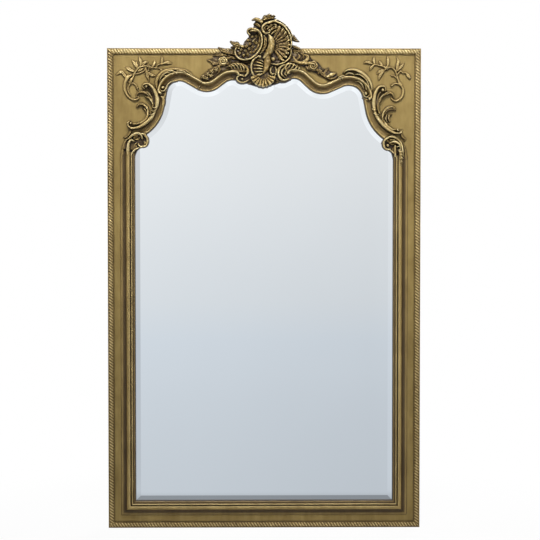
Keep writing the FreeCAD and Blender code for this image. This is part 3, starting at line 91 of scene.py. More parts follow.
def noise_texture(nodes, links, scale, detail=4.0, stretch=(1.0, 1.0, 1.0)):
    coordinates = nodes.new("ShaderNodeTexCoord")
    mapping = nodes.new("ShaderNodeMapping")
    mapping.inputs["Scale"].default_value = stretch
    texture = nodes.new("ShaderNodeTexNoise")
    texture.inputs["Scale"].default_value = scale
    texture.inputs["Detail"].default_value = detail
    links.new(coordinates.outputs["Object"], mapping.inputs["Vector"])
    links.new(mapping.outputs["Vector"], texture.inputs["Vector"])
    return texture


def mix_colours(nodes, links, blend, factor, first, second):
    mix = nodes.new("ShaderNodeMix")
    mix.data_type = "RGBA"
    mix.blend_type = blend
    if isinstance(factor, float):
        mix.inputs["Factor"].default_value = factor
    else:
        links.new(factor, mix.inputs["Factor"])
    for socket, value in ((mix.inputs[6], first), (mix.inputs[7], second)):
        if isinstance(value, tuple):
            socket.default_value = (*value, 1.0)
        else:
            links.new(value, socket)
    return mix.outputs[2]


def arithmetic(nodes, links, operation, *values):
    """The result of a sum, with each value a number or a socket."""
    node = nodes.new("ShaderNodeMath")
    node.operation = operation
    for socket, value in zip(node.inputs, values):
        if isinstance(value, float):
            socket.default_value = value
        else:
            links.new(value, socket)
    return node.outputs["Value"]


def ramped(nodes, links, value, stops):
    ramp = colour_ramp(nodes, stops)
    links.new(value, ramp.inputs["Fac"])
    return ramp.outputs["Color"]


def add_bump(nodes, links, shader, height, strength, distance):
    bump = nodes.new("ShaderNodeBump")
    bump.inputs["Strength"].default_value = strength
    bump.inputs["Distance"].default_value = distance
    links.new(height, bump.inputs["Height"])
    links.new(bump.outputs["Normal"], shader.inputs["Normal"])


# Patina ramp colours: UMBER and BROWN for dark wash and painted shade in hollows, BRIGHT_GOLD for worn gilt
# and painted highlights
UMBER = (0.040, 0.024, 0.010)
BROWN = (0.125, 0.082, 0.030)
DULL_GOLD = (0.285, 0.196, 0.070)
GOLD = (0.470, 0.335, 0.118)
BRIGHT_GOLD = (0.940, 0.780, 0.400)
GROUND_GOLD = (0.375, 0.266, 0.085)
BARE_WOOD = (0.330, 0.215, 0.110)
OCCLUSION_REACH = 0.008
GILT_METALLIC = 0.20
BACK_FACING = 0.7


def gilding(name, relief_known):
    """Old gold leaf: dark wash with painted shade in the hollows, worn bright edges with painted highlights,
    soft mottling, bare wood at the back.
    """
    material, nodes, links, shader = new_material(name)
    mottle = noise_texture(nodes, links, 24.0, 6.0, (1.0, 1.0, 0.55))
    mottle_stops = [(0.32, (0.70, 0.66, 0.60)), (0.68, (1.10, 1.10, 1.12))]
    mottle_colour = ramped(nodes, links, mottle.outputs["Fac"], mottle_stops)
    if relief_known:
        patina_and_painted_light = nodes.new("ShaderNodeAttribute")
        patina_and_painted_light.attribute_name = "patina_and_painted_light"
        stops = [(0.06, UMBER), (0.28, BROWN), (0.48, DULL_GOLD), (0.70, GOLD), (0.95, BRIGHT_GOLD)]
        leaf_colour = ramped(nodes, links, patina_and_painted_light.outputs["Fac"], stops)
    else:
        leaf_colour = GROUND_GOLD
    mottled = mix_colours(nodes, links, "MULTIPLY", 0.75, leaf_colour, mottle_colour)
    streaks = noise_texture(nodes, links, 16.0, 5.0, (6.0, 6.0, 0.7))
    streak_stops = [(0.34, (0.76, 0.72, 0.66)), (0.64, (1.08, 1.08, 1.10))]
    streak_colour = ramped(nodes, links, streaks.outputs["Fac"], streak_stops)
    worn = mix_colours(nodes, links, "MULTIPLY", 0.35, mottled, streak_colour)
    # Painted shade: ambient occlusion darkens the colour in crevices and at the foot of raised carving
    occlusion = nodes.new("ShaderNodeAmbientOcclusion")
    occlusion.inputs["Distance"].default_value = OCCLUSION_REACH
    open_share = 0.84 if relief_known else 0.95
    shade_stops = [(0.34, (0.18, 0.13, 0.09)), (open_share, (1.0, 1.0, 1.0))]
    shade = ramped(nodes, links, occlusion.outputs["AO"], shade_stops)
    wash_and_painted_shade = mix_colours(nodes, links, "MULTIPLY", 0.8, worn, shade)
    geometry = nodes.new("ShaderNodeNewGeometry")
    facing = nodes.new("ShaderNodeSeparateXYZ")
    links.new(geometry.outputs["True Normal"], facing.inputs["Vector"])
    behind = arithmetic(nodes, links, "GREATER_THAN", facing.outputs["Y"], BACK_FACING)
    grain = noise_texture(nodes, links, 14.0, 6.0, (10.0, 10.0, 1.0))
    wood = mix_colours(nodes, links, "MULTIPLY", 0.6, BARE_WOOD, grain.outputs["Color"])
    links.new(mix_colours(nodes, links, "MIX", behind, wash_and_painted_shade, wood), shader.inputs["Base Color"])
    gilt = arithmetic(nodes, links, "MULTIPLY_ADD", behind, -GILT_METALLIC, GILT_METALLIC)
    links.new(gilt, shader.inputs["Metallic"])
    shader.inputs["Roughness"].default_value = 0.42
    shader.inputs["Specular IOR Level"].default_value = 0.35
    fine = noise_texture(nodes, links, 420.0, 3.0)
    add_bump(nodes, links, shader, fine.outputs["Fac"], 0.12, 0.0006)
    return material


def timber(name, dark, light, scale, stretch):
    material, nodes, links, shader = new_material(name)
    grain = noise_texture(nodes, links, scale, 6.0, stretch)
    colour = ramped(nodes, links, grain.outputs["Fac"], [(0.3, dark), (0.7, light)])
    links.new(colour, shader.inputs["Base Color"])
    shader.inputs["Roughness"].default_value = 0.7
    add_bump(nodes, links, shader, grain.outputs["Fac"], 0.15, 0.0008)
    return material


def metal(name, dark, light, roughness, metallic=1.0):
    material, nodes, links, shader = new_material(name)
    wear = noise_texture(nodes, links, 140.0, 5.0)
    colour = ramped(nodes, links, wear.outputs["Fac"], [(0.3, dark), (0.7, light)])
    links.new(colour, shader.inputs["Base Color"])
    shader.inputs["Metallic"].default_value = metallic
    shader.inputs["Roughness"].default_value = roughness
    return material


def silvered_glass():
    material, nodes, links, shader = new_material("silvered_plate")
    haze = noise_texture(nodes, links, 3.0, 2.0)
    tint_stops = [(0.3, (0.945, 0.95, 0.955)), (0.7, (0.955, 0.96, 0.965))]
    links.new(ramped(nodes, links, haze.outputs["Fac"], tint_stops), shader.inputs["Base Color"])
    shader.inputs["Metallic"].default_value = 1.0
    shader.inputs["Roughness"].default_value = 0.0
    return material


carved_gold = gilding("carved_gold", True)
ground_gold = gilding("ground_gold", False)
plate_silver = silvered_glass()
back_wood = timber("hardboard", (0.13, 0.075, 0.035), (0.20, 0.12, 0.06), 60.0, (1.0, 1.0, 1.0))
strip_wood = timber("softwood", (0.42, 0.27, 0.13), (0.56, 0.38, 0.20), 12.0, (14.0, 14.0, 1.0))
brass = metal("rolled_brass", (0.50, 0.34, 0.12), (0.66, 0.47, 0.19), 0.34)
steel = metal("zinc_steel", (0.42, 0.42, 0.40), (0.60, 0.60, 0.58), 0.4)
rubber = metal("black_rubber", (0.012, 0.012, 0.012), (0.03, 0.03, 0.03), 0.8, 0.0)
felt = metal("black_felt", (0.010, 0.010, 0.010), (0.022, 0.022, 0.022), 0.95, 0.0)


def wear_cad(material, *nodes):
    for node in nodes:
        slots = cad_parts[node].data.materials
        slots.clear()
        slots.append(material)


wear_cad(ground_gold, "left_stile", "right_stile", "bottom_rail", "header_panel")
wear_cad(back_wood, "backboard")
wear_cad(strip_wood, "glass_packing", "dowel_pins", "glass_setting_blocks")
wear_cad(felt, "rebate_tape")
wear_cad(brass, "hanger_strap_left", "hanger_strap_right", "hanger_ring_left", "hanger_ring_right")
wear_cad(steel, "backboard_screws", "crest_screws", "hanger_screws")
wear_cad(rubber, "wall_bumpers")


def add_piece(name, vertices, faces, material, replaced, patina_and_painted_light=None, crease_degrees=50.0):
    """A mesh piece that rides on the frame and stands for CAD nodes."""
    mesh = bpy.data.meshes.new(name)
    mesh.from_pydata(vertices, [], faces)
    mesh.validate()
    mesh.shade_smooth()
    mesh.set_sharp_from_angle(angle=math.radians(crease_degrees))
    mesh.materials.append(material)
    if patina_and_painted_light is not None:
        attribute = mesh.attributes.new("patina_and_painted_light", "FLOAT", "POINT")
        attribute.data.foreach_set("value", np.asarray(patina_and_painted_light, dtype=np.float32))
    piece = bpy.data.objects.new(name, mesh)
    bpy.context.scene.collection.objects.link(piece)
    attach(piece, ROOT)
    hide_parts(*replaced)


# The sight line: tangent circles as centre, radius and turn (1 where the glass bulges), in pixels
SIGHT_CIRCLES_PIXELS = [
    (149.1, 149.5, 14.0, 1),
    (124.8, 99.9, 40.3, -1),
    (179.8, 93.3, 12.7, 1),
    (207.0, 72.5, 18.8, -1),
    (233.3, 93.2, 13.6, 1),
    (262.8, 75.0, 12.5, -1),
    (294.3, 87.9, 9.8, 1),
    (322.3, 73.3, 20.0, -1),
    (348.7, 99.5, 14.6, 1),
    (407.7, 102.9, 42.7, -1),
    (379.5, 153.5, 14.0, 1),
]
LAST_CIRCLE = len(SIGHT_CIRCLES_PIXELS) - 1
ARC_STEP = math.radians(3.0)


def sight_headings():
    headings = [math.pi / 2]
    for near, far in zip(SIGHT_CIRCLES_PIXELS, SIGHT_CIRCLES_PIXELS[1:]):
        step = (far[0] - near[0], near[1] - far[1])
        lean = (far[3] * far[2] - near[3] * near[2]) / math.hypot(*step)
        headings.append(math.atan2(step[1], step[0]) + math.asin(lean))
    headings.append(-math.pi / 2)
    return headings


def belt(offset_pixels, first_circle=0, first_share=0.0, last_circle=LAST_CIRCLE, last_share=1.0):
    """Points along part of the sight line, moved outwards into the frame by an offset."""
    headings = sight_headings()
    points = []
    for index in range(first_circle, last_circle + 1):
        across, down, radius, turn = SIGHT_CIRCLES_PIXELS[index]
        begin, finish = headings[index], headings[index + 1]
        spread = finish - begin
        if index == last_circle:
            finish = begin + spread * last_share
        if index == first_circle:
            begin = begin + spread * first_share
        count = max(int(abs(finish - begin) / ARC_STEP), 2)
        reach = (radius + turn * offset_pixels) * turn
        for heading in np.linspace(begin, finish, count):
            points.append((across - math.sin(heading) * reach, down - math.cos(heading) * reach))
    return points


# Cross-sections of the carved strokes: height as a share of the rise, over -1 to 1 from edge to edge
def dome(across, along):
    return 0.35 + 0.65 * np.sqrt(1 - across ** 2)


def roll(across, along):
    return 0.62 + 0.38 * np.sqrt(1 - across ** 2)


def leaf(across, along):
    ribs = 0.05 * np.cos(2 * math.pi * (5 * along - np.abs(across)))
    return (0.45 + 0.55 * (1 - across ** 2)) * (1 - 0.22 * np.exp(-(across / 0.16) ** 2)) + ribs


MOULDING_PLACES = [-1.0, -0.90, -0.78, -0.66, -0.5, -0.1, 0.22, 0.46, 0.66, 0.84, 1.0]
MOULDING_SHARES = [0.30, 0.40, 0.40, 0.27, 0.22, 0.28, 0.48, 0.80, 1.0, 0.95, 0.72]


def moulding(across, along):
    return np.interp(across, MOULDING_PLACES, MOULDING_SHARES)


EAR_PLACES = [-1.0, -0.85, -0.62, -0.42, -0.2, 0.2, 0.6, 1.0]
EAR_SHARES = [0.34, 0.50, 0.58, 0.50, 0.36, 0.34, 0.46, 0.66]


def ear(across, along):
    return np.interp(across, EAR_PLACES, EAR_SHARES)


GRID_STEP_PIXELS = 0.3
OUTSIDE = -9.0
PLAIN_PATINA = 0.47
EDGE_REACH_PIXELS = 0.5
EDGE_WEIGHT = 0.19
RECESS_REACH_PIXELS = 2.0
RECESS_WEIGHT = 0.035
FOOT_REACH_PIXELS = 0.7
FOOT_WASH_AND_SHADE = 0.20
BACK_PATINA = 0.3
LOBE_DEPTH = 0.16
LEAST_HEIGHT = 1.0
LEAST_SHARE = 0.05
LEAST_STEEPNESS = 0.25
PULL_LIMIT = 0.6
TOOL_MARK_PIXELS = 0.75


def blur(field, reach_pixels):
    """A field averaged over a round neighbourhood."""
    reach = reach_pixels / GRID_STEP_PIXELS
    span = int(math.ceil(3 * reach))
    weights = np.exp(-0.5 * (np.arange(-span, span + 1) / reach) ** 2)
    weights = weights / weights.sum()
    for axis in (0, 1):
        margin = [(0, 0), (0, 0)]
        margin[axis] = (span, span)
        padded = np.pad(field, margin, mode="edge")
        length = field.shape[axis]
        field = sum(
            weight * np.take(padded, np.arange(shift, shift + length), axis=axis)
            for shift, weight in enumerate(weights)
        )
    return field


def smooth_line(points, step=GRID_STEP_PIXELS):
    """Dense points on a curve through the given ones."""
    points = np.array(points, dtype=float)
    padded = np.vstack([2 * points[0] - points[1], points, 2 * points[-1] - points[-2]])
    dense = []
    for before, start, end, after in zip(padded, padded[1:], padded[2:], padded[3:]):
        count = max(int(np.hypot(*(end - start)) / step), 2)
        t = np.linspace(0, 1, count, endpoint=False)[:, None]
        dense.append(0.5 * (
            2 * start + (end - before) * t + (2 * before - 5 * start + 4 * end - after) * t ** 2
            + (3 * start - before - 3 * end + after) * t ** 3
        ))
    return np.vstack(dense + [points[-1:]])


def mean_around(height, solid, reach_pixels):
    """The mean height of the carving near each point."""
    return blur(height * solid, reach_pixels) / np.maximum(blur(solid, reach_pixels), LEAST_SHARE)


def tool_marks(shape, seed):
    """Uneven cuts of the carver's gouge, about one either way."""
    marks = blur(np.random.default_rng(seed).standard_normal(shape), TOOL_MARK_PIXELS)
    return marks / marks.std()


def soften(field, times):
    """A field with each point averaged with its neighbours."""
    for _ in range(times):
        padded = np.pad(field, 1, mode="edge")
        field = (padded[:-2, 1:-1] + padded[2:, 1:-1] + padded[1:-1, :-2] + padded[1:-1, 2:] + 4 * field) / 8
    return field


# Sides of a grid cell: the steps to its neighbour, then the two corners on that side
CELL_SIDES = ((-1, 0, 3, 0), (1, 0, 1, 2), (0, -1, 0, 1), (0, 1, 2, 3))


class Carving:
    """A relief in the front view: the height in millimetres at each point of a grid of pixels."""

    def __init__(self, low, high):
        self.x = np.arange(low[0], high[0], GRID_STEP_PIXELS)
        self.y = np.arange(low[1], high[1], GRID_STEP_PIXELS)
        shape = (len(self.y), len(self.x))
        self.inside = np.full(shape, OUTSIDE)
        self.height = np.zeros(shape)
        self.edge = np.zeros(shape)
        self.tone = np.zeros(shape)

    def window(self, low, high):
        columns = slice(*np.searchsorted(self.x, (low[0], high[0])))
        rows = slice(*np.searchsorted(self.y, (low[1], high[1])))
        return (rows, columns), np.meshgrid(self.x[columns], self.y[rows])

    def lay(self, window, inside, height, tone=0.0):
        nearer = inside > self.inside[window]
        self.edge[window] = np.where(nearer, height, self.edge[window])
        self.inside[window] = np.maximum(inside, self.inside[window])
        upmost = (inside > 0) & (height >= self.height[window])
        self.height[window] = np.where(upmost, height, self.height[window])
        self.tone[window] = np.where(upmost, tone, self.tone[window])

    def along(self, path, widths, margin):
        """The grid near a path: where each point lies along it and across it."""
        line = smooth_line(path)
        steps = np.hypot(*np.diff(line, axis=0).T)
        shares = np.concatenate([[0], np.cumsum(steps)]) / steps.sum()
        half = np.interp(shares, np.linspace(0, 1, len(widths)), widths)
        reach = half.max() + margin
        window, (px, py) = self.window(line.min(axis=0) - reach, line.max(axis=0) + reach)
        gap = (px[..., None] - line[:, 0]) ** 2 + (py[..., None] - line[:, 1]) ** 2
        nearest = gap.argmin(axis=-1)
        distance = np.sqrt(gap.min(axis=-1))
        tangent = np.gradient(line, axis=0)[nearest]
        away = np.stack([px, py], axis=-1) - line[nearest]
        side = np.where(tangent[..., 0] * away[..., 1] - tangent[..., 1] * away[..., 0] > 0, -1.0, 1.0)
        return window, shares[nearest], half[nearest], side * distance

    def stroke(self, path, widths, rises, tone=0.0, form=dome, lobes=0):
        window, share, half, offset = self.along(path, widths, 1.0)
        half = half * (1 + (LOBE_DEPTH * np.cos(2 * math.pi * lobes * share) if lobes else 0.0))
        rise = np.interp(share, np.linspace(0, 1, len(rises)), rises)
        across = np.clip(offset / half, -1, 1)
        self.lay(window, half - np.abs(offset), rise * form(across, share), tone)

    def groove(self, path, width, depth):
        window, share, half, offset = self.along(path, [width], 0.3)
        across = np.clip(offset / half, -1, 1)
        cut = depth * (1 - across ** 2) * np.minimum(1, 6 * np.minimum(share, 1 - share) + 0.2)
        self.height[window] = np.maximum(self.height[window] - cut, LEAST_HEIGHT)

    def polar(self, centre, reach):
        low = (centre[0] - reach, centre[1] - reach)
        window, (px, py) = self.window(low, (centre[0] + reach, centre[1] + reach))
        radius = np.hypot(px - centre[0], py - centre[1])
        return window, radius, np.arctan2(centre[1] - py, px - centre[0])

    def ball(self, centre, radius, rise, tone=0.08):
        window, distance, _ = self.polar(centre, radius + 1)
        share = np.clip(distance / radius, 0, 1)
        self.lay(window, radius - distance, rise * (0.55 + 0.45 * np.sqrt(1 - share ** 2)), tone)

    def flower(self, centre, radius, rise, petals=5, turn=0.3, tone=0.0):
        """An open blossom: rounded petals round a button."""
        window, distance, angle = self.polar(centre, radius + 1)
        wave = np.abs(np.cos(petals * (angle - turn) / 2))
        rim = radius * (0.74 + 0.26 * wave)
        share = np.clip(distance / rim, 0, 1)
        petal = 0.44 + 0.52 * np.sin(math.pi * share ** 0.8) * (0.15 + 0.85 * wave) - 0.10 * share
        button = np.where(share < 0.24, 0.58 + 0.36 * np.sqrt(np.clip(1 - (share / 0.24) ** 2, 0, 1)), 0)
        self.lay(window, rim - distance, rise * np.maximum(petal, button), tone)

    def rose(self, centre, radius, rise, tone=-0.06):
        """A full rose: petals that wind round the heart."""
        window, distance, angle = self.polar(centre, radius + 1)
        rim = radius * (0.88 + 0.12 * np.abs(np.cos(2.5 * angle)))
        share = np.clip(distance / rim, 0, 1)
        winding = 2.3 * share - angle / (2 * math.pi)
        fold = winding - np.floor(winding)
        petals = (1 - 0.34 * share ** 2) * (0.52 + 0.48 * np.sqrt(fold))
        self.lay(window, rim - distance, rise * petals, tone)

    def fan(self, centre, near, far, first_degrees, last_degrees, ribs, rises, tone=0.0):
        """A shell: ribs that widen from a centre to a scalloped rim."""
        window, radius, angle = self.polar(centre, max(far) * 1.12 + 1)
        first = math.radians(first_degrees)
        spread = math.radians(last_degrees) - first
        turned = np.mod(angle - first + math.pi, 2 * math.pi) - math.pi
        turned = np.where(turned < spread / 2 - math.pi, turned + 2 * math.pi, turned)
        place_on_fan = turned / spread
        rim_at = np.interp(place_on_fan, np.linspace(0, 1, len(far)), far)
        phase = np.clip(place_on_fan, 0, 1) * ribs
        rib = np.abs(np.sin(math.pi * phase)) ** 0.6
        rim = rim_at * (0.95 + 0.06 * rib)
        inside = np.minimum(rim - radius, radius - near)
        inside = np.minimum(inside, np.minimum(place_on_fan, 1 - place_on_fan) * abs(spread) * radius)
        outward = np.clip((radius - near) / (rim_at - near), 0, 1)
        rise = np.interp(outward, np.linspace(0, 1, len(rises)), rises)
        self.lay(window, inside, rise * (0.74 + 0.26 * rib), tone)

    def sheet(self, outline, height, tone=0.0):
        """A plain field inside a closed outline."""
        line = np.array(outline, dtype=float)
        low, high = line.min(axis=0) - 1, line.max(axis=0) + 1
        window, (px, py) = self.window(low, high)
        within = np.zeros(px.shape, dtype=bool)
        distance = np.full(px.shape, 1e6)
        for start, end in zip(line, np.roll(line, -1, axis=0)):
            crosses = (start[1] > py) != (end[1] > py)
            drop = end[1] - start[1] if end[1] != start[1] else 1e-9
            within ^= crosses & (px < (end[0] - start[0]) * (py - start[1]) / drop + start[0])
            edge = end - start
            share = ((px - start[0]) * edge[0] + (py - start[1]) * edge[1]) / (edge @ edge)
            share = np.clip(share, 0, 1)
            gap = np.hypot(px - start[0] - share * edge[0], py - start[1] - share * edge[1])
            distance = np.minimum(distance, gap)
        self.lay(window, np.where(within, distance, -distance), np.full(px.shape, float(height)), tone)

    def finish(self, name, slot, replaced, softness=2, roughness=0.25):
        """The relief as a closed mesh with its edge drawn to the outline."""
        inside = soften(self.inside, 1)
        height = soften(np.where(self.inside > 0, self.height, self.edge), softness)
        height = np.maximum(height + roughness * tool_marks(height.shape, len(name)), LEAST_HEIGHT)
        solid = (inside > 0).astype(float)
        # Patina from the relief: dark wash and painted shade in hollows, worn gilt and painted highlights on
        # ridges
        edges = EDGE_WEIGHT * (height - mean_around(height, solid, EDGE_REACH_PIXELS))
        recesses = RECESS_WEIGHT * (height - mean_around(height, solid, RECESS_REACH_PIXELS))
        # Wash with painted shade: darker at the foot of the relief, next to its outline
        foot = FOOT_WASH_AND_SHADE * np.exp(-np.maximum(inside, 0) / FOOT_REACH_PIXELS)
        patina_and_painted_light = np.clip(PLAIN_PATINA + edges + recesses - foot + soften(self.tone, 2), 0, 1)
        cells = (inside[:-1, :-1] + inside[1:, :-1] + inside[:-1, 1:] + inside[1:, 1:]) > 0
        around = np.pad(cells, 1).astype(int)
        touching = around[:-1, :-1] + around[1:, :-1] + around[:-1, 1:] + around[1:, 1:]
        slope_y, slope_x = np.gradient(inside, GRID_STEP_PIXELS)
        steepness = np.maximum(slope_x ** 2 + slope_y ** 2, LEAST_STEEPNESS)
        pull = np.where((touching > 0) & (touching < 4), -inside / steepness, 0)
        limit = PULL_LIMIT * GRID_STEP_PIXELS
        px, py = np.meshgrid(self.x, self.y)
        px = px + np.clip(pull * slope_x, -limit, limit)
        py = py + np.clip(pull * slope_y, -limit, limit)
        number = np.full(cells.shape + np.array([1, 1]), -1)
        used = touching > 0
        count = int(used.sum())
        number[used] = np.arange(count)
        front = np.stack(place(px[used], py[used], height[used] * MM), axis=-1)
        back = front.copy()
        back[:, 1] = ground
        rows, columns = np.nonzero(cells)
        corners = np.stack([
            number[rows, columns], number[rows + 1, columns],
            number[rows + 1, columns + 1], number[rows, columns + 1],
        ], axis=-1)
        faces = [corners, corners[:, ::-1] + count]
        for row_step, column_step, first, second in CELL_SIDES:
            open_side = around[rows + 1 + row_step, columns + 1 + column_step] == 0
            start = corners[open_side, first]
            end = corners[open_side, second]
            faces.append(np.stack([end, start, start + count, end + count], axis=-1))
        shade = np.concatenate([patina_and_painted_light[used], np.full(count, BACK_PATINA)])
        add_piece(
            name, np.vstack([front, back]).tolist(), np.vstack(faces).tolist(),
            carved_gold, replaced, shade,
        )


GILT = "gilt_carving"
# Patina tones: DARK and DEEP darken hollows and parts lying behind others, wash with painted shade; LIGHT
# lightens ridges, tips and balls, wear with painted highlights
DARK = -0.16
DEEP = -0.30
LIGHT = 0.10


def carve(relief, strokes):
    """Strokes as path, half widths and rises, then tone, cross-section and lobes where these aren't plain."""
    for stroke in strokes:
        relief.stroke(*stroke)


# Serpentine top mouldings with their end scrolls
carving = Carving((150, 60), (256, 100))
carving.stroke(belt(4.7, 2, 0.0, 4, 0.80), [4.7], [27, 27], 0.03, moulding)
# A thin lighter roll along the ridge: painted highlight
carving.stroke(belt(7.9, 2, 0.4, 4, 0.70), [0.7], [27.6, 27.6], 0.20, roll)
carve(carving, [
    ([(159, 92), (157.6, 88), (157.2, 83), (158.4, 78.4), (161.2, 74.4), (165.4, 71.4), (171, 69.9),
     (178, 69.5), (185, 70.4), (191, 72.4)], [1.0, 1.7, 2.0, 2.0, 1.8, 1.4, 1.0, 0.6],
     [16, 24, 28, 30, 30, 29, 28, 24], 0.10, roll),
    ([(160.6, 83), (161, 79.2), (163.4, 76.4), (167.8, 76.3)], [0.6, 1.0, 1.1, 0.5], [20, 27, 29, 24],
     LIGHT),
    ([(161, 79.6), (163.6, 75.4), (168, 73), (173.4, 74.8)], [0.6, 1.1, 1.2, 0.5], [26, 31, 32, 26], LIGHT),
    ([(164, 74.4), (168, 72), (173, 71.4), (177.8, 74)], [0.6, 1.0, 1.2, 0.5], [28, 32, 33, 27], LIGHT),
    ([(177, 71), (181, 71), (185, 72.2), (188.6, 75.4)], [0.7, 1.2, 1.2, 0.5], [28, 32, 32, 26], LIGHT),
    ([(186, 71.4), (190, 73), (193.6, 76.6)], [0.6, 1.0, 0.5], [27, 29, 25]),
    ([(160.4, 88.4), (161.8, 90.6), (164.4, 91), (166.6, 89), (167.8, 85.8), (169.8, 83.2), (173, 81.6),
     (178, 80.9)], [0.6, 0.8, 0.9, 0.8, 0.7, 0.7, 0.5], [18, 22, 22, 20, 18, 15, 11], LIGHT),
    ([(158, 92.6), (160.6, 94.4), (164.6, 94)], [0.8, 1.1, 0.8], [13, 15, 11], DARK),
    ([(161.6, 96.4), (164, 96.8)], [0.9, 0.9], [12, 12], LIGHT),
])
carving.ball((163.6, 87.5), 1.5, 27, LIGHT)
LEFT_TERMINAL_PIXELS = [
    (229, 67), (233, 63.6), (239, 62.8), (245, 64.6), (249.4, 68.6), (250, 74), (250.4, 80.6), (247, 82.6),
    (243.4, 83.6), (239.4, 82.6), (236.4, 79.8), (234, 79.4), (231, 74),
]
carving.sheet(LEFT_TERMINAL_PIXELS, 11, DEEP)
carving.sheet([
    (227.6, 67.6), (232, 64.4), (238, 63.2), (244, 64.4), (248, 68.4), (246.4, 72.4), (240, 72.6),
    (233, 71),
], 21, -0.08)
carve(carving, [
    ([(228, 67.4), (233, 64.6), (239, 64), (244, 65.6), (247.4, 69), (247.8, 73), (245.6, 76)],
     [0.7, 1.0, 1.1, 1.3, 1.7, 1.7, 0.9], [26, 29, 30, 31, 31, 30, 24], -0.04, roll, 6),
    ([(229.6, 66.4), (231.6, 67.4), (232.4, 69.6)], [0.8, 1.0, 0.4], [30, 31, 25], LIGHT),
    ([(231.8, 65.2), (234.4, 66.8), (235.4, 69.4)], [0.8, 1.1, 0.4], [32, 33, 26], LIGHT),
    ([(234.6, 64.4), (237.6, 66.6), (238.6, 69.8)], [0.8, 1.1, 0.4], [33, 34, 27], LIGHT),
    ([(237.8, 64.2), (240.8, 66.8), (241.6, 70.4)], [0.8, 1.1, 0.4], [33, 34, 27], LIGHT),
    ([(241, 64.8), (243.8, 67.8), (244.2, 71.4)], [0.8, 1.2, 0.4], [33, 34, 27], 0.06),
    ([(244.6, 76.6), (241, 75.2), (238.2, 76.4), (237.2, 79.2), (238.8, 81.6), (242.4, 82.6), (246, 81.8),
     (249, 79.6)], [0.6, 0.9, 1.0, 1.0, 1.0, 1.1, 0.9, 0.6], [20, 24, 25, 24, 22, 20, 18, 14], -0.05),
])
carving.ball((242.4, 79.2), 1.1, 24, LIGHT)
carving.finish("serpentine_left", GILT, ["serpentine_moulding_left"])

carving = Carving((270, 58), (378, 106))
carving.stroke(belt(4.7, 6, 0.12, 8, 1.0), [4.7], [27, 27], 0.03, moulding)
# A thin lighter roll along the ridge: painted highlight
carving.stroke(belt(7.9, 6, 0.3, 8, 0.02), [0.7, 0.7, 0.7, 0.7, 0.3], [27.6, 27.6], 0.20, roll)
carve(carving, [
    ([(343, 72.6), (348, 70.2), (354, 70), (360, 72.4), (365.4, 76.6), (369.4, 82), (371.2, 88),
     (370.4, 94)], [0.7, 1.2, 1.7, 2.0, 2.0, 1.8, 1.4, 0.8], [22, 28, 30, 31, 31, 30, 26, 18], 0.18, roll),
    ([(351, 76), (357, 74.4), (362.2, 76.8), (366.2, 81), (368.2, 86), (368.4, 91)],
     [0.5, 0.8, 1.0, 1.0, 0.8, 0.5], [22, 27, 29, 29, 27, 23], 0.12),
    ([(353, 78.6), (358, 77.8), (362, 80.4), (364.8, 84.6), (366, 89.4)], [0.4, 0.8, 0.9, 0.9, 0.5],
     [18, 23, 25, 25, 22]),
    ([(354.6, 81.6), (358.4, 81.6), (361.4, 84.2), (363.4, 88)], [0.4, 0.7, 0.8, 0.5], [14, 19, 21, 19],
     -0.04),
    ([(345, 75.6), (348, 73.6), (352, 74.2), (354.4, 77)], [0.6, 1.2, 1.1, 0.4], [28, 32, 30, 22], LIGHT),
    ([(337, 79.2), (340, 76.8), (343.4, 76.2), (345.4, 78.4)], [0.6, 1.1, 1.1, 0.4], [27, 31, 30, 22],
     LIGHT),
    ([(362.6, 92), (363.6, 95.6), (366, 97), (368.6, 95.4), (369.4, 92)], [0.6, 0.8, 0.8, 0.8, 0.6],
     [16, 19, 20, 20, 18]),
    ([(363, 97.4), (366, 99.6), (369.6, 99.4), (371.4, 96.8)], [0.8, 1.2, 1.1, 0.7], [12, 15, 15, 11],
     DARK),
])
carving.ball((365.4, 93.4), 1.5, 26, 0.02)
RIGHT_TERMINAL_PIXELS = [
    (275.6, 80.6), (275.8, 72), (278, 66.6), (283, 63.4), (289, 61.8), (294, 64.4), (297, 68.4), (293, 74),
    (291, 79.4), (287, 81.4), (283.6, 82.4), (279, 82),
]
carving.sheet(RIGHT_TERMINAL_PIXELS, 11, DEEP)
carving.sheet([
    (301, 70), (296, 65.6), (290, 63), (285, 64), (283.6, 68), (287, 72), (293, 72.4), (299, 72),
], 21, -0.08)
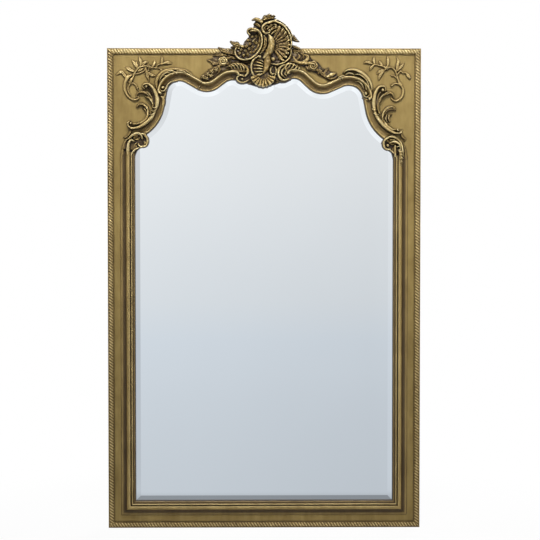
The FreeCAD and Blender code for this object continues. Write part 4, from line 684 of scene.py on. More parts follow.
carve(carving, [
    ([(300, 69.4), (295, 66), (290, 64), (286.6, 65.4), (285.6, 69), (287, 72.4)],
     [0.7, 1.0, 1.1, 1.2, 1.1, 0.7], [28, 30, 31, 30, 27, 20], -0.02, roll, 5),
    ([(299.4, 67.6), (298.4, 69.6), (296.4, 71.4)], [0.8, 1.0, 0.4], [31, 32, 25], LIGHT),
    ([(296.8, 65.8), (295.6, 68.4), (293.4, 70.6)], [0.8, 1.1, 0.4], [32, 33, 26], LIGHT),
    ([(293.8, 64.4), (292.4, 67.4), (290.2, 69.8)], [0.8, 1.1, 0.4], [33, 34, 27], LIGHT),
    ([(290.6, 63.8), (289.2, 66.8), (287, 69)], [0.8, 1.1, 0.4], [33, 34, 27], 0.06),
    ([(285.6, 65), (281.4, 66.4), (278.8, 70), (278.4, 74.6), (280.4, 78.6), (284.4, 80.4), (288.6, 78.6)],
     [0.7, 1.2, 1.4, 1.5, 1.5, 1.3, 0.7], [24, 27, 28, 28, 27, 24, 18], 0.0, leaf, 3),
    ([(284.4, 68), (281.8, 71.2), (281.8, 75), (284.6, 77.4)], [0.6, 1.0, 1.0, 0.5], [22, 25, 25, 20],
     0.02),
    ([(286, 71.6), (284.8, 74), (286.6, 76)], [0.5, 0.8, 0.5], [19, 21, 18]),
    ([(276.4, 80.4), (280, 81.4), (284.4, 81.6), (288.4, 80), (291, 78.6)], [0.6, 0.8, 0.9, 0.8, 0.5],
     [14, 16, 16, 15, 12], DARK),
])
carving.tone += 0.03
carving.finish("serpentine_right", GILT, ["serpentine_moulding_right"])

# Acanthus C-scrolls in the ears of the sight line
carving = Carving((118, 80), (172, 142))
carving.stroke(belt(3.0, 0, 0.86, 2, 0.03), [3.0], [20, 20], 0.06, ear)
carve(carving, [
    ([(161.4, 96.6), (164, 98.6), (164.2, 103), (163, 108.6)], [0.8, 1.5, 1.4, 0.6], [12, 14, 14, 11], 0.08,
     roll),
    ([(154.4, 107), (155.4, 101), (154.6, 95), (152, 90), (149, 87)], [1.2, 1.9, 2.0, 1.6, 0.8],
     [20, 18, 16, 15, 16], DARK, roll),
    ([(145.2, 88.6), (143.6, 87), (144.4, 84.9), (147.4, 83.9), (151, 85.2), (154, 88.2), (156.2, 92),
     (157.6, 96.4), (158, 101), (157.4, 105.6), (155.8, 110)], [0.9, 1.2, 1.5, 1.8, 2.0, 2.1, 2.0, 1.5],
     [20, 25, 29, 31, 31, 31, 29, 25], 0.05, roll),
    ([(155.8, 111), (152.6, 116.6), (148.6, 121), (143.6, 124.8), (138, 127.4), (132.6, 127.8),
     (129.2, 125.6), (128.9, 122.6), (131, 121)], [1.2, 1.7, 1.9, 1.9, 1.8, 1.6, 1.4, 1.1, 0.8],
     [25, 28, 29, 29, 28, 27, 26, 25, 22], 0.06, roll),
    ([(148.6, 111), (148.4, 115.4), (146.4, 119.2), (142.8, 122), (138, 123.6), (134, 123.9)],
     [0.9, 1.4, 1.6, 1.5, 1.3, 0.8], [20, 24, 25, 25, 24, 21], 0.04, roll),
    ([(153.2, 107.2), (155.8, 108), (158, 106.4)], [0.6, 0.8, 0.5], [27, 33, 28], LIGHT),
    ([(152.2, 110.6), (154.8, 111.2), (157, 109.4)], [0.6, 0.9, 0.5], [27, 33, 28], LIGHT),
    ([(150.4, 114.4), (153, 114.6), (155.4, 112.6)], [0.6, 0.9, 0.5], [26, 32, 27], LIGHT),
    ([(153.8, 107), (153.4, 102), (151.4, 97.4), (148.4, 94), (144.4, 92.2), (140.4, 92.2), (137.8, 94.2),
     (137.6, 97)], [0.9, 1.3, 1.7, 1.9, 1.8, 1.5, 1.1, 0.7], [25, 25, 24, 23, 21, 18, 15, 12], -0.04, leaf,
     3),
    ([(153.4, 103.6), (151.8, 100.2), (149, 97.6), (145.8, 97)], [0.8, 1.2, 1.2, 0.5], [26, 26, 22, 14],
     0.03),
    ([(151.6, 96.6), (149.6, 93.2), (146.4, 90.8)], [0.6, 0.9, 0.4], [26, 25, 20], 0.04),
    ([(149, 112.4), (148.4, 108.8), (146, 105.6), (142.6, 103.9), (139.4, 104.6), (137.6, 107)],
     [0.9, 1.3, 1.5, 1.4, 1.2, 0.7], [21, 20, 18, 16, 14, 10], 0.0, leaf, 3),
    ([(147.4, 112.8), (145.8, 109.4), (143, 107.4)], [0.7, 1.1, 0.5], [17, 15, 10], DARK),
    ([(132, 130), (130, 133.4), (127.4, 136.4), (124.4, 137.2)], [1.0, 1.4, 1.2, 0.6], [15, 14, 11, 7], 0.0,
     leaf),
    ([(146.6, 131.6), (149.4, 130.6), (152, 128.4)], [0.8, 0.9, 0.6], [12, 12, 10], LIGHT),
])
carving.ball((147, 86.6), 1.4, 28, LIGHT)
carving.ball((131.7, 123), 1.4, 27, LIGHT)
carving.tone += 0.06
carving.finish("corner_scroll_carving_left", GILT, ["corner_scroll_left"])

carving = Carving((360, 80), (412, 148))
carving.stroke(belt(3.4, 8, 0.96, 10, 0.12), [3.4], [20, 20], 0.04, ear)
carve(carving, [
    ([(378.8, 113), (377.2, 107.4), (376.6, 101.6), (377.4, 96), (380, 91.6)], [1.1, 1.6, 1.8, 1.6, 0.9],
     [24, 22, 20, 18, 17], -0.10, roll),
    ([(384.2, 91), (385, 88.8), (383.8, 86.8), (381, 86.2), (378, 87.4), (375.6, 90.6), (374, 95),
     (373.3, 100), (373.4, 105), (374.2, 110)], [0.9, 1.2, 1.5, 1.8, 2.0, 2.1, 2.0, 1.5],
     [20, 25, 29, 31, 31, 31, 29, 25], 0.05, roll),
    ([(374.2, 111), (376.6, 116.4), (380, 121.6), (384.4, 126.4), (389.6, 130.4), (395, 132.8),
     (399.6, 132.4), (401.4, 129.6)], [1.2, 1.7, 1.9, 1.9, 1.8, 1.6, 1.3, 0.8],
     [25, 28, 29, 29, 28, 27, 26, 22], 0.05, roll),
    ([(371.8, 108.6), (374, 110), (376, 109.6)], [0.5, 0.8, 0.5], [27, 33, 28], LIGHT),
    ([(373.4, 113), (375.6, 114.6), (377.8, 114.4)], [0.5, 0.9, 0.5], [27, 33, 28], LIGHT),
    ([(376, 117.8), (378.2, 119.8), (380.4, 119.8)], [0.5, 0.9, 0.5], [26, 32, 27], LIGHT),
    ([(377.4, 108), (378.2, 102.4), (380.4, 97.8), (384, 94.4), (388.4, 92.6), (392, 93.8), (393.4, 97.4)],
     [0.9, 1.4, 1.7, 1.8, 1.7, 1.4, 0.7], [25, 25, 24, 22, 19, 15, 11], -0.06, leaf, 3),
    ([(379, 99.6), (381, 96.4), (383.4, 94.4)], [0.6, 1.0, 0.5], [26, 28, 24], LIGHT),
    ([(382.6, 121.4), (382, 116.6), (383.4, 111.6), (387, 107.8), (391.4, 106.4), (394.6, 108)],
     [0.9, 1.2, 1.4, 1.5, 1.3, 0.7], [22, 21, 19, 17, 14, 10], 0.08, leaf, 3),
    ([(384.4, 114), (386.6, 110.4), (390.4, 108.8), (395.4, 109.4)], [0.6, 1.1, 1.1, 0.6], [15, 15, 13, 9],
     DARK),
    ([(383.6, 120.6), (385.6, 124.4), (388.6, 127.4), (392.6, 129.2), (396, 129.2)],
     [0.8, 1.5, 1.8, 1.4, 0.7], [20, 25, 26, 24, 20], 0.16, roll),
    ([(389.2, 121.4), (388.2, 118), (389, 115), (391.4, 114)], [0.7, 1.0, 0.9, 0.5], [17, 16, 13, 9], 0.06),
    ([(386.6, 122), (385.4, 117.4), (386.6, 113.4)], [0.6, 0.9, 0.5], [19, 17, 12], 0.06),
    ([(400.8, 133.6), (402.4, 136.6), (405, 138.6), (403.8, 140.8)], [1.0, 1.4, 1.2, 0.6], [15, 14, 11, 7],
     -0.04, leaf),
])
carving.ball((382.1, 90), 1.7, 28, 0.04)
carving.ball((397.2, 129.6), 1.4, 27, LIGHT)
carving.tone += 0.09
carving.finish("corner_scroll_carving_right", GILT, ["corner_scroll_right"])

# Scrolled capitals on the side mouldings
LEFT_CAPITAL_PIXELS = [
    (122.6, 149.6), (123, 146), (125.4, 140.6), (129, 138), (133, 134.4), (138, 132), (143, 132),
    (147, 134), (149.4, 138), (149.8, 142), (148, 145.8), (144.6, 147.4), (140.4, 147.6), (137.4, 150.2),
    (135.6, 154), (135.2, 156), (132, 156), (130.6, 150.4),
]
carving = Carving((118, 128), (156, 160))
carving.sheet(LEFT_CAPITAL_PIXELS, 7, DEEP)
carving.sheet([(121.2, 154.4), (122.2, 148.6), (126, 148.6), (126, 154.4)], 3.5, 0.06)
carving.sheet([
    (124.4, 148.4), (125.4, 143), (128, 140), (134, 141), (138, 146), (136, 149.6), (131, 149),
], 13, -0.14)
carve(carving, [
    ([(145.4, 134.6), (147.8, 137.4), (148.4, 141.4), (147, 144.8), (143.8, 146.4), (140.4, 145.6),
     (138.8, 143)], [1.2, 1.3, 1.3, 1.2, 1.1, 0.9, 0.6], [26, 26, 25, 24, 23, 22, 19], 0.02, roll),
    ([(129.6, 138.4), (132.4, 135.4), (136.4, 133.2), (140, 133.2), (142.2, 135.4), (143, 138.4)],
     [0.8, 1.2, 1.3, 1.3, 1.1, 0.7], [24, 29, 31, 31, 30, 26], LIGHT, roll),
    ([(142.6, 133.6), (145.4, 133.8), (147, 135.6)], [0.9, 1.2, 0.8], [26, 28, 25], 0.06, roll),
    ([(128.6, 155), (128.8, 147.6), (129.6, 142.6), (132, 139.8), (134.8, 140.8)],
     [1.7, 1.7, 1.5, 1.2, 0.7], [21.4, 25, 28, 29, 26], 0.06, roll),
    ([(122.6, 154.6), (123.6, 147), (125.6, 141.6), (129, 137.6)], [1.4, 1.2, 1.0, 0.6], [4.0, 9, 17, 20],
     0.16, roll),
    ([(132.1, 156), (132.6, 152.6), (135, 149.6), (138.8, 147.6), (141.6, 147)], [0.8, 0.8, 0.9, 0.8, 0.6],
     [16, 17, 18, 18, 18], 0.08, roll),
    ([(134.6, 147.6), (135.2, 144.6), (137.2, 142.8)], [1.3, 1.3, 0.6], [14, 15, 13], DARK),
])
carving.ball((146, 142.3), 1.5, 23, 0.02)
carving.finish("capital_carving_left", GILT, ["capital_left"])

RIGHT_CAPITAL_PIXELS = [
    (406, 152.6), (405.6, 149), (402.6, 142.6), (398, 138.2), (394, 135.6), (389.4, 135), (385, 136.8),
    (382.2, 140.6), (381.8, 144.6), (383.2, 148), (386.6, 150.2), (390.2, 150.4), (392, 153), (393.2, 157),
    (393.4, 159), (396.6, 159), (398, 153.4),
]
carving = Carving((374, 130), (410, 172))
carving.sheet(RIGHT_CAPITAL_PIXELS, 7, DEEP)
carving.sheet([(407.4, 157.4), (406.4, 151.6), (402.6, 151.6), (402.6, 157.4)], 3.5, 0.06)
carving.sheet([
    (404.2, 151.4), (403.6, 147), (401.6, 143), (395, 144), (391, 149.6), (392.6, 153), (398, 152.6),
], 13, -0.14)
carve(carving, [
    ([(387.4, 137.4), (384.4, 139.4), (383, 142.8), (383.6, 146.4), (386.4, 148.8), (390, 148.8)],
     [1.2, 1.3, 1.3, 1.2, 1.1, 0.7], [27, 26, 25, 24, 22, 18], 0.0, roll),
    ([(386.4, 137.6), (390.4, 136.2), (394.4, 137), (398, 139.8), (400.4, 143.6), (401.8, 148.4),
     (402.4, 155.6)], [0.9, 1.3, 1.4, 1.4, 1.3, 1.2, 1.0], [26, 30, 31, 31, 29, 26, 20], 0.04, roll),
    ([(389.6, 142.4), (392.6, 141.2), (396.4, 141.8), (399, 144), (399.8, 147)], [0.7, 1.1, 1.2, 1.1, 0.8],
     [24, 29, 31, 31, 28], LIGHT, roll),
    ([(389.4, 139.4), (393, 139), (396, 140)], [0.5, 0.7, 0.5], [26, 28, 27], 0.02),
    ([(406, 157.6), (405, 150), (403, 144.6), (400, 140.6)], [1.4, 1.2, 1.0, 0.6], [4.0, 9, 17, 20], 0.16,
     roll),
    ([(396.4, 146.6), (398.2, 145.6), (399.8, 146.8), (399.6, 148.8), (397.8, 149.6)],
     [0.5, 0.6, 0.7, 0.7, 0.5], [27, 28, 28, 27, 25], 0.04),
    ([(394.8, 146), (394.6, 150), (395, 155.6)], [1.4, 1.5, 1.1], [20, 22, 20], -0.06),
    ([(400.2, 155.6), (400, 152), (399.4, 149.6)], [1.5, 1.6, 1.2], [25, 26, 26], 0.02, roll),
    ([(398.2, 150.4), (400, 151.2), (402, 150.8)], [0.5, 0.8, 0.5], [27, 30, 27], LIGHT),
    ([(398.8, 154.6), (400.4, 153.6), (402.2, 154.6)], [0.5, 0.8, 0.5], [27, 30, 27], LIGHT),
    ([(400.2, 155), (400.8, 160), (401.2, 166)], [1.2, 1.7, 0.4], [27, 28, 23], 0.0, leaf, 3),
    ([(399, 158.2), (400.8, 157), (402.6, 157.8)], [0.5, 0.9, 0.5], [28, 31, 27], LIGHT),
    ([(399.6, 161.8), (401, 160.6), (402.4, 161.4)], [0.5, 0.8, 0.4], [27, 30, 26], LIGHT),
    ([(396.5, 159), (395.8, 155), (393, 151.8), (389.8, 149.8)], [0.8, 0.8, 0.9, 0.6], [16, 17, 18, 18],
     0.04, roll),
])
carving.ball((387.4, 145), 1.4, 22, -0.02)
carving.finish("capital_carving_right", GILT, ["capital_right"])

# Low flower sprays in the corners of the ground
LEAF_RISES = [8, 9, 8, 4]
LEAF_SHAPE = [0.4, 1.15, 1.2, 0.4]
SPRAY_TONE = 0.22
BUD_RISE = 12
BUD_TONE = 0.16


def spray(low, high, stems, leaves, buds, name, node):
    relief = Carving(low, high)
    for path, widths, rises in stems:
        relief.stroke(path, widths, rises, SPRAY_TONE, roll)
    for path, width in leaves:
        relief.stroke(path, [width * share for share in LEAF_SHAPE], LEAF_RISES, SPRAY_TONE, leaf)
    for centre, radius in buds:
        relief.flower(centre, radius, BUD_RISE, tone=BUD_TONE)
    relief.finish(name, GILT, [node], 1)


spray(
    (112, 54), (178, 104),
    [
        ([(137.6, 96), (139.4, 98.2), (136, 99.7), (132, 98.6), (128, 95), (125.8, 90), (125.4, 85),
         (126.8, 80)], [0.7, 0.9, 0.9, 1.1, 1.5, 1.7, 1.8], [7, 9, 9, 9, 10, 10]),
        ([(131, 95.5), (129, 90), (129.5, 86), (131.5, 83.4), (134, 83.3), (136.5, 85), (138, 88.5)],
         [0.5, 0.7, 0.8, 0.8, 0.9], [7, 8, 8, 8]),
        ([(131.6, 82), (134, 77), (135, 74), (137, 71), (140, 67.6), (144, 66.5), (147, 66.2), (151.6, 68),
         (158, 68), (161, 69)], [1.1, 0.9, 0.8, 0.7, 0.6, 0.5], [10, 9, 9, 9, 8, 7]),
        ([(136, 74), (139, 73.7), (142, 72.5), (145, 70.5), (146.4, 67.4)], [0.5, 0.7, 0.7, 0.6],
         [7, 8, 8, 8]),
        ([(126.4, 81.6), (128.4, 77.6), (132, 75.4)], [1.6, 2.2, 1.0], [10, 11, 8]),
        ([(130, 82), (132.4, 79.6), (134, 76.4)], [1.1, 1.5, 0.8], [10, 11, 8]),
        ([(156.6, 67.4), (159, 65), (164, 63.8), (168, 63.6)], [0.5, 0.7, 0.7, 0.5], [7, 8, 8, 7]),
    ],
    [
        ([(127.4, 80), (125.6, 75.6), (122, 72), (117, 75)], 1.7),
        ([(136, 72.2), (131, 69.8), (126.5, 67.5)], 1.7),
        ([(138.4, 68.6), (135.8, 64.2), (133, 60.5)], 1.5),
        ([(139.4, 67.6), (137.6, 64.4), (137, 61)], 1.1),
        ([(141, 67), (141.6, 62), (139.5, 56.8)], 1.6),
        ([(143.4, 66.4), (145, 63), (149, 62)], 1.5),
        ([(152.4, 67.6), (154.6, 64.6), (156, 60.5)], 1.4),
        ([(163.6, 63.6), (168, 62.8), (172.4, 63.6)], 1.5),
        ([(161.6, 64.6), (162.8, 60.6), (162.3, 56.5)], 1.4),
        ([(146.8, 68.4), (147.8, 75), (149.8, 80.5)], 1.5),
        ([(148, 71), (151.4, 74.6), (157, 76.3)], 1.5),
        ([(160.4, 68.6), (163, 70.6), (165.6, 70.4)], 1.0),
        ([(138.4, 71.8), (141.4, 70), (144.4, 68)], 1.3),
    ],
    [((150, 67.2), 2.5), ((138, 88.6), 1.5), ((149.4, 70.6), 1.4)],
    "foliage_carving_left", "foliage_spray_left",
)
spray(
    (358, 54), (414, 104),
    [
        ([(391, 86), (392, 84.5), (396, 83.3), (400, 85), (402.5, 88.5), (402.6, 93), (401, 97),
         (398, 99.7), (395, 100.5), (392, 99), (390.5, 97)], [0.7, 0.9, 1.1, 1.4, 1.3, 1.0, 0.7],
         [7, 9, 10, 10, 10, 9, 7]),
        ([(400.4, 84.6), (397.8, 80), (396, 74), (394.4, 70), (391.4, 67.6), (387, 67.6), (381, 66),
         (374, 64.5), (369, 63.2)], [1.6, 1.1, 0.8, 0.8, 0.7, 0.6, 0.5], [11, 10, 9, 9, 9, 8, 7]),
        ([(397.4, 79), (394, 76), (391, 75.3)], [0.8, 0.8, 0.6], [9, 8, 7]),
        ([(396.6, 75), (400, 71), (402.6, 72.8), (405.6, 72.6), (408.4, 75.4)], [0.7, 0.8, 0.8, 0.6],
         [9, 9, 8, 7]),
    ],
    [
        ([(396, 72), (397, 65), (398, 61.6), (396.5, 57)], 1.5),
        ([(397, 71), (400.6, 66.6), (403.6, 63.5)], 1.4),
        ([(405.6, 72.8), (408.2, 76), (409.8, 79.4)], 1.6),
        ([(387, 67), (387.6, 61), (387, 56.5)], 1.5),
        ([(382.4, 66.4), (380.4, 63.2), (378.5, 61)], 1.3),
        ([(374.6, 64.4), (373.4, 60.4), (374, 56.5)], 1.4),
        ([(371.4, 63.6), (366.6, 62), (363.5, 63.5)], 1.4),
        ([(374, 64.6), (371.2, 67.2), (369.5, 70.5)], 1.3),
        ([(384.4, 69.4), (380, 71), (376.5, 73.5)], 1.6),
        ([(384, 70.6), (380, 75), (378.5, 80)], 1.5),
    ],
    [((386, 68.2), 2.7), ((409.4, 77.4), 1.4), ((391.6, 85.4), 1.2)],
    "foliage_carving_right", "foliage_spray_right",
)

# Roses and leaves beside the crest
carving = Carving((196, 50), (236, 86))
carving.sheet([
    (209, 60), (216, 57), (224, 55.4), (229.6, 58.6), (230, 65), (226, 69), (219, 73), (210, 79.6),
    (203, 80.4), (201, 76.4), (208, 71.6), (215, 67), (216.6, 63.6),
], 6, -0.2)
carve(carving, [
    ([(221, 62.6), (215, 63.6), (208, 60)], [1.4, 2.0, 0.6], [14, 13, 9], DARK, leaf, 2),
    ([(226.4, 62), (229.4, 65.6), (230.6, 69.4)], [1.4, 1.9, 0.7], [14, 13, 9], DARK, leaf),
    ([(220.6, 65.4), (216, 68), (211, 71), (206, 75), (201.6, 77.6)], [1.4, 2.2, 2.2, 1.9, 0.7],
     [13, 13, 13, 12, 9], DARK, leaf, 4),
    ([(222, 57.4), (218.4, 55.4), (213.6, 55.8)], [1.2, 1.7, 0.6], [13, 12, 8], DARK, leaf),
    ([(219.4, 66.4), (219.8, 70.4), (217.6, 74)], [1.0, 1.5, 0.6], [13, 12, 8], -0.08, leaf),
])
carving.rose((223.4, 61.4), 4.8, 22, 0.02)
for centre in ((216.8, 70), (212.4, 71.6), (208.2, 74.4), (203.6, 77.2), (211.4, 76), (206.8, 78.6)):
    carving.flower(centre, 2.5, 19, turn=centre[0], tone=0.12)
carving.tone += 0.04
carving.finish("rose_carving_left", GILT, ["rose_garland_left"], 1, 0.8)

carving = Carving((288, 48), (342, 84))
carving.sheet([
    (292, 52), (300, 50.6), (308, 54), (312, 59.6), (318, 62.4), (322, 68), (327, 69.6), (336, 73),
    (336, 78), (328, 79.6), (322, 76.4), (314, 72), (305, 67), (297, 64), (292.6, 59),
], 6, -0.2)
carve(carving, [
    ([(311.4, 63.6), (305.4, 63), (299.6, 62.9), (295.6, 61), (293.2, 57)], [1.3, 1.8, 1.8, 1.6, 0.8],
     [16, 16, 15, 13, 10], 0.02, roll),
    ([(304, 61.4), (307.4, 59.4), (307.4, 56.4), (304.4, 54.8)], [1.2, 1.6, 1.4, 0.7], [16, 16, 14, 11],
     0.0, roll),
    ([(294, 51), (299, 51.4), (303, 54.6), (303.4, 58.4)], [1.0, 1.9, 1.7, 0.8], [14, 14, 13, 10], DARK,
     leaf, 2),
    ([(297, 59.6), (299.4, 56.8), (298.2, 54)], [0.9, 1.4, 0.6], [13, 12, 9], DARK, leaf),
    ([(316, 69), (321, 72.6), (324.6, 76), (328.8, 78.2), (333.4, 78.2), (337, 76.4)],
     [1.4, 1.9, 2.0, 1.9, 1.5, 0.7], [14, 14, 14, 13, 12, 8], -0.08, leaf, 3),
    ([(323.6, 73.6), (326, 70.4), (328.6, 68)], [1.2, 1.6, 0.6], [14, 12, 8], DARK, leaf),
    ([(327.4, 76.8), (331.4, 74.8), (335.8, 73)], [1.2, 2.0, 0.9], [16, 16, 12], LIGHT, roll),
    ([(310, 70.4), (307.4, 68.4), (305.4, 65.6)], [1.0, 1.5, 0.6], [13, 12, 8], DARK, leaf),
])
carving.rose((313, 66), 5.1, 22)
carving.flower((319.4, 71.6), 3.0, 19, tone=0.04)
carving.finish("rose_carving_right", GILT, ["rose_garland_right"], 1, 0.8)

# Crest: a one-sided shell with scrolls, flowers and leaves standing above the top edge
CREST_FIELD_PIXELS = [
    (236, 57.4), (235, 52), (239, 47.6), (243.4, 45), (244.6, 42), (249, 37.4), (248, 33), (250, 29.6),
    (253.6, 28), (254, 24.4), (256, 21), (261, 20), (266, 16.6), (272, 16), (274.4, 18.4), (279, 21),
    (285, 26), (290, 32.4), (292.4, 39), (292.4, 48), (291.6, 55), (288, 60.6), (280, 65), (276.6, 66),
    (276.6, 74), (275.4, 80), (270.4, 85.4), (263, 87.2), (255.8, 85.2), (250.8, 80), (250.2, 71),
    (251.2, 64), (252.4, 61), (245.4, 61.4), (239.4, 60.6),
]
SHELL_CENTRE = (271, 45.6)
RIM_LEAVES = 11
RIM_START = 76
RIM_STEP = 12.5
RIM_REACH = (18.6, 20.4)
TIP_REACH = (14.8, 16.2)
TIP_TURN = 5


def round_shell(degrees, reach):
    """A place on an ellipse round the shell's centre."""
    turn = math.radians(degrees)
    return SHELL_CENTRE[0] + reach[0] * math.cos(turn), SHELL_CENTRE[1] - reach[1] * math.sin(turn)


carving = Carving((214, 10), (304, 92))
carving.sheet(CREST_FIELD_PIXELS, 13, -0.22)
carving.sheet([
    (231, 64.6), (232, 60), (240, 60), (252, 60), (252, 70), (249, 67.4), (244, 63.6), (238, 62.4),
], 8, DEEP)
carving.sheet([
    (277, 70), (277, 65), (284, 62), (290, 57), (294.4, 60), (298, 65), (292, 63.4), (286, 62.6), (280, 65),
], 8, DEEP)
carve(carving, [
    ([(251.4, 62.6), (246, 62), (240, 61.6), (234, 62.6)], [0.9, 1.4, 1.4, 0.6], [15, 15, 14, 9], DARK,
     leaf, 3),
    ([(251, 65.6), (249, 64.6), (246.4, 64)], [0.7, 1.0, 0.5], [15, 14, 10], DARK, leaf),
    ([(278, 67), (283, 64.4), (288, 61.6), (292.6, 58.4)], [0.9, 1.5, 1.5, 0.6], [15, 15, 14, 9], DARK,
     leaf, 3),
    ([(290, 62), (293.4, 61.6), (296.4, 63.4)], [0.8, 1.3, 0.6], [13, 12, 9], DARK, leaf),
])
carving.stroke(belt(0.9, 4, 0.9, 6, 0.1), [0.9], [9, 9], DARK)
SHELL_RIM = [17.6, 17.4, 17.4, 18.2, 19.4, 20.0, 19.4]
carving.fan(SHELL_CENTRE, 4.0, SHELL_RIM, -60, 72, 9, (20, 23, 28), -0.15)
carving.fan((263.2, 73.6), 4.6, [13.2, 13.6, 13.2], -166, -14, 9, (13, 20, 27, 25))
carve(carving, [
    ([(264, 62.6), (260.4, 60.4), (256.6, 59.4)], [0.6, 1.0, 0.7], [24, 21, 16], -0.08),
    ([(263.4, 64.6), (259, 62.8), (254.6, 62.2)], [0.6, 1.1, 0.8], [25, 22, 16], -0.05),
    ([(263, 66.8), (258.4, 65.8), (253.8, 65.4)], [0.6, 1.1, 0.9], [25, 23, 17]),
    ([(263, 69.2), (258.6, 68.8), (254, 68.8)], [0.6, 1.1, 0.9], [24, 23, 17]),
    ([(263, 71.6), (259, 71.8), (255, 72.2)], [0.6, 1.1, 0.9], [23, 22, 16], -0.03),
    ([(262.6, 74), (259.8, 74.8), (256.6, 75.6)], [0.6, 1.3, 0.8], [23, 24, 18], LIGHT),
    ([(249.8, 35.4), (247.9, 33.2), (248.3, 30.8), (250.8, 29.6), (254.6, 29.9), (258.6, 32), (261.2, 36),
     (262.1, 41), (261.4, 46.4), (259, 51.6), (255.2, 56), (250, 59.2), (244.4, 60.2), (239.4, 59),
     (236.2, 55.8), (235.4, 51.6), (236.6, 48.4)],
     [0.9, 1.2, 1.3, 1.1, 0.95, 0.95, 0.95, 0.95, 0.95, 0.9, 0.7],
     [28, 34, 38, 38, 38, 38, 36, 34, 32, 30, 24], -0.10, roll),
    ([(250.4, 32.2), (253.4, 31.4), (256.8, 32.2)], [0.8, 1.2, 0.7], [36, 39, 36], LIGHT),
    ([(264.2, 36.4), (265.6, 41), (265, 46), (262.6, 50.8), (260.2, 54)], [1.0, 2.1, 2.4, 2.0, 1.0],
     [26, 27, 27, 26, 23], 0.04, leaf),
    ([(267.4, 29.6), (270.6, 26.4), (275.6, 25)], [0.8, 1.6, 0.8], [25, 28, 26], -0.02, leaf, 2),
    ([(269.6, 32), (273.6, 28.6), (279.4, 28)], [0.8, 1.6, 0.8], [25, 28, 26], -0.05, leaf, 2),
    ([(271, 35), (275, 32), (281.6, 31)], [0.8, 1.4, 0.7], [24, 26, 25], -0.06, leaf, 2),
    ([(258.4, 33.4), (260, 38), (259.6, 43.4), (257.4, 48.6), (253.6, 53)], [0.8, 1.5, 1.7, 1.5, 0.8],
     [22, 24, 24, 23, 20], -0.05, leaf, 5),
    ([(267, 51), (267.4, 56.6), (267.6, 62), (266.4, 67.4), (263.8, 73)], [1.6, 3.3, 3.9, 3.4, 1.4],
     [30, 31, 30, 28, 22], -0.05),
    ([(269, 35.6), (271, 40), (271.6, 45), (270.4, 50), (267.6, 54.6), (264.4, 58)],
     [0.9, 3.0, 3.5, 3.6, 3.2, 1.6], [34, 41, 42.5, 41, 35, 29], 0.02),
    ([(276, 21.4), (270.6, 23), (265.4, 24.8), (262.6, 28), (263, 32), (266, 34.2), (269.4, 33.4)],
     [1.0, 1.1, 1.1, 1.1, 1.1, 1.0, 0.7], [34, 36, 37, 37, 36, 34, 30], -0.10, roll, 4),
    ([(265, 30.6), (264.9, 28), (267, 26.6), (269.2, 28)], [0.5, 0.7, 0.7, 0.5], [26, 28, 28, 26], -0.08),
    ([(274.4, 22.2), (279.6, 24), (284.8, 28), (288.6, 33.4), (290.8, 39.6), (291.2, 45.4), (290, 50)],
     [0.9, 1.0, 1.0, 1.0, 0.9, 0.8, 0.6], [34, 38, 39, 39, 38, 36, 30], -0.06, roll),
    ([(278, 20.8), (283.6, 24.4), (288.6, 29.6), (291.6, 35), (293, 40)], [0.6, 0.9, 1.0, 0.9, 0.5],
     [24, 27, 27, 26, 22], -0.02),
    ([(290.8, 51), (290.9, 54.6), (289, 58.6), (284.4, 62.4), (278, 64.8), (271.6, 64.2)],
     [0.8, 0.9, 1.0, 1.0, 1.0, 0.6], [28, 29, 29, 29, 28, 26], -0.06),
    ([(258.6, 56.6), (255, 58.8), (252.2, 62.6), (251.4, 68), (252.4, 73), (255.4, 77.6)],
     [0.8, 1.0, 1.0, 1.0, 1.0, 0.7], [30, 31, 31, 30, 28, 22], -0.06, roll),
    ([(272.4, 67.2), (270.7, 69.4), (270.6, 72.4), (272.4, 74.6), (274.4, 73.8)], [0.6, 0.9, 1.0, 0.9, 0.5],
     [26, 30, 31, 30, 26], LIGHT),
    ([(275.2, 67.4), (276.2, 71), (275.4, 75), (273, 77.6)], [0.6, 0.9, 0.9, 0.6], [22, 24, 24, 20], -0.06),
    ([(270.4, 76.4), (272.6, 78.4), (274, 80)], [0.9, 1.3, 0.6], [22, 24, 18], LIGHT),
    ([(252, 78.4), (254.4, 78), (256, 79.4)], [0.7, 1.0, 0.6], [20, 23, 20], LIGHT),
])
for step in range(RIM_LEAVES):
    heading = RIM_START - RIM_STEP * step
    leaf_path = [round_shell(heading, RIM_REACH), round_shell(heading - TIP_TURN, TIP_REACH)]
    carving.stroke(leaf_path, [1.3, 1.0, 0.4], [33, 31, 27], 0.05 if step % 2 else -0.04)
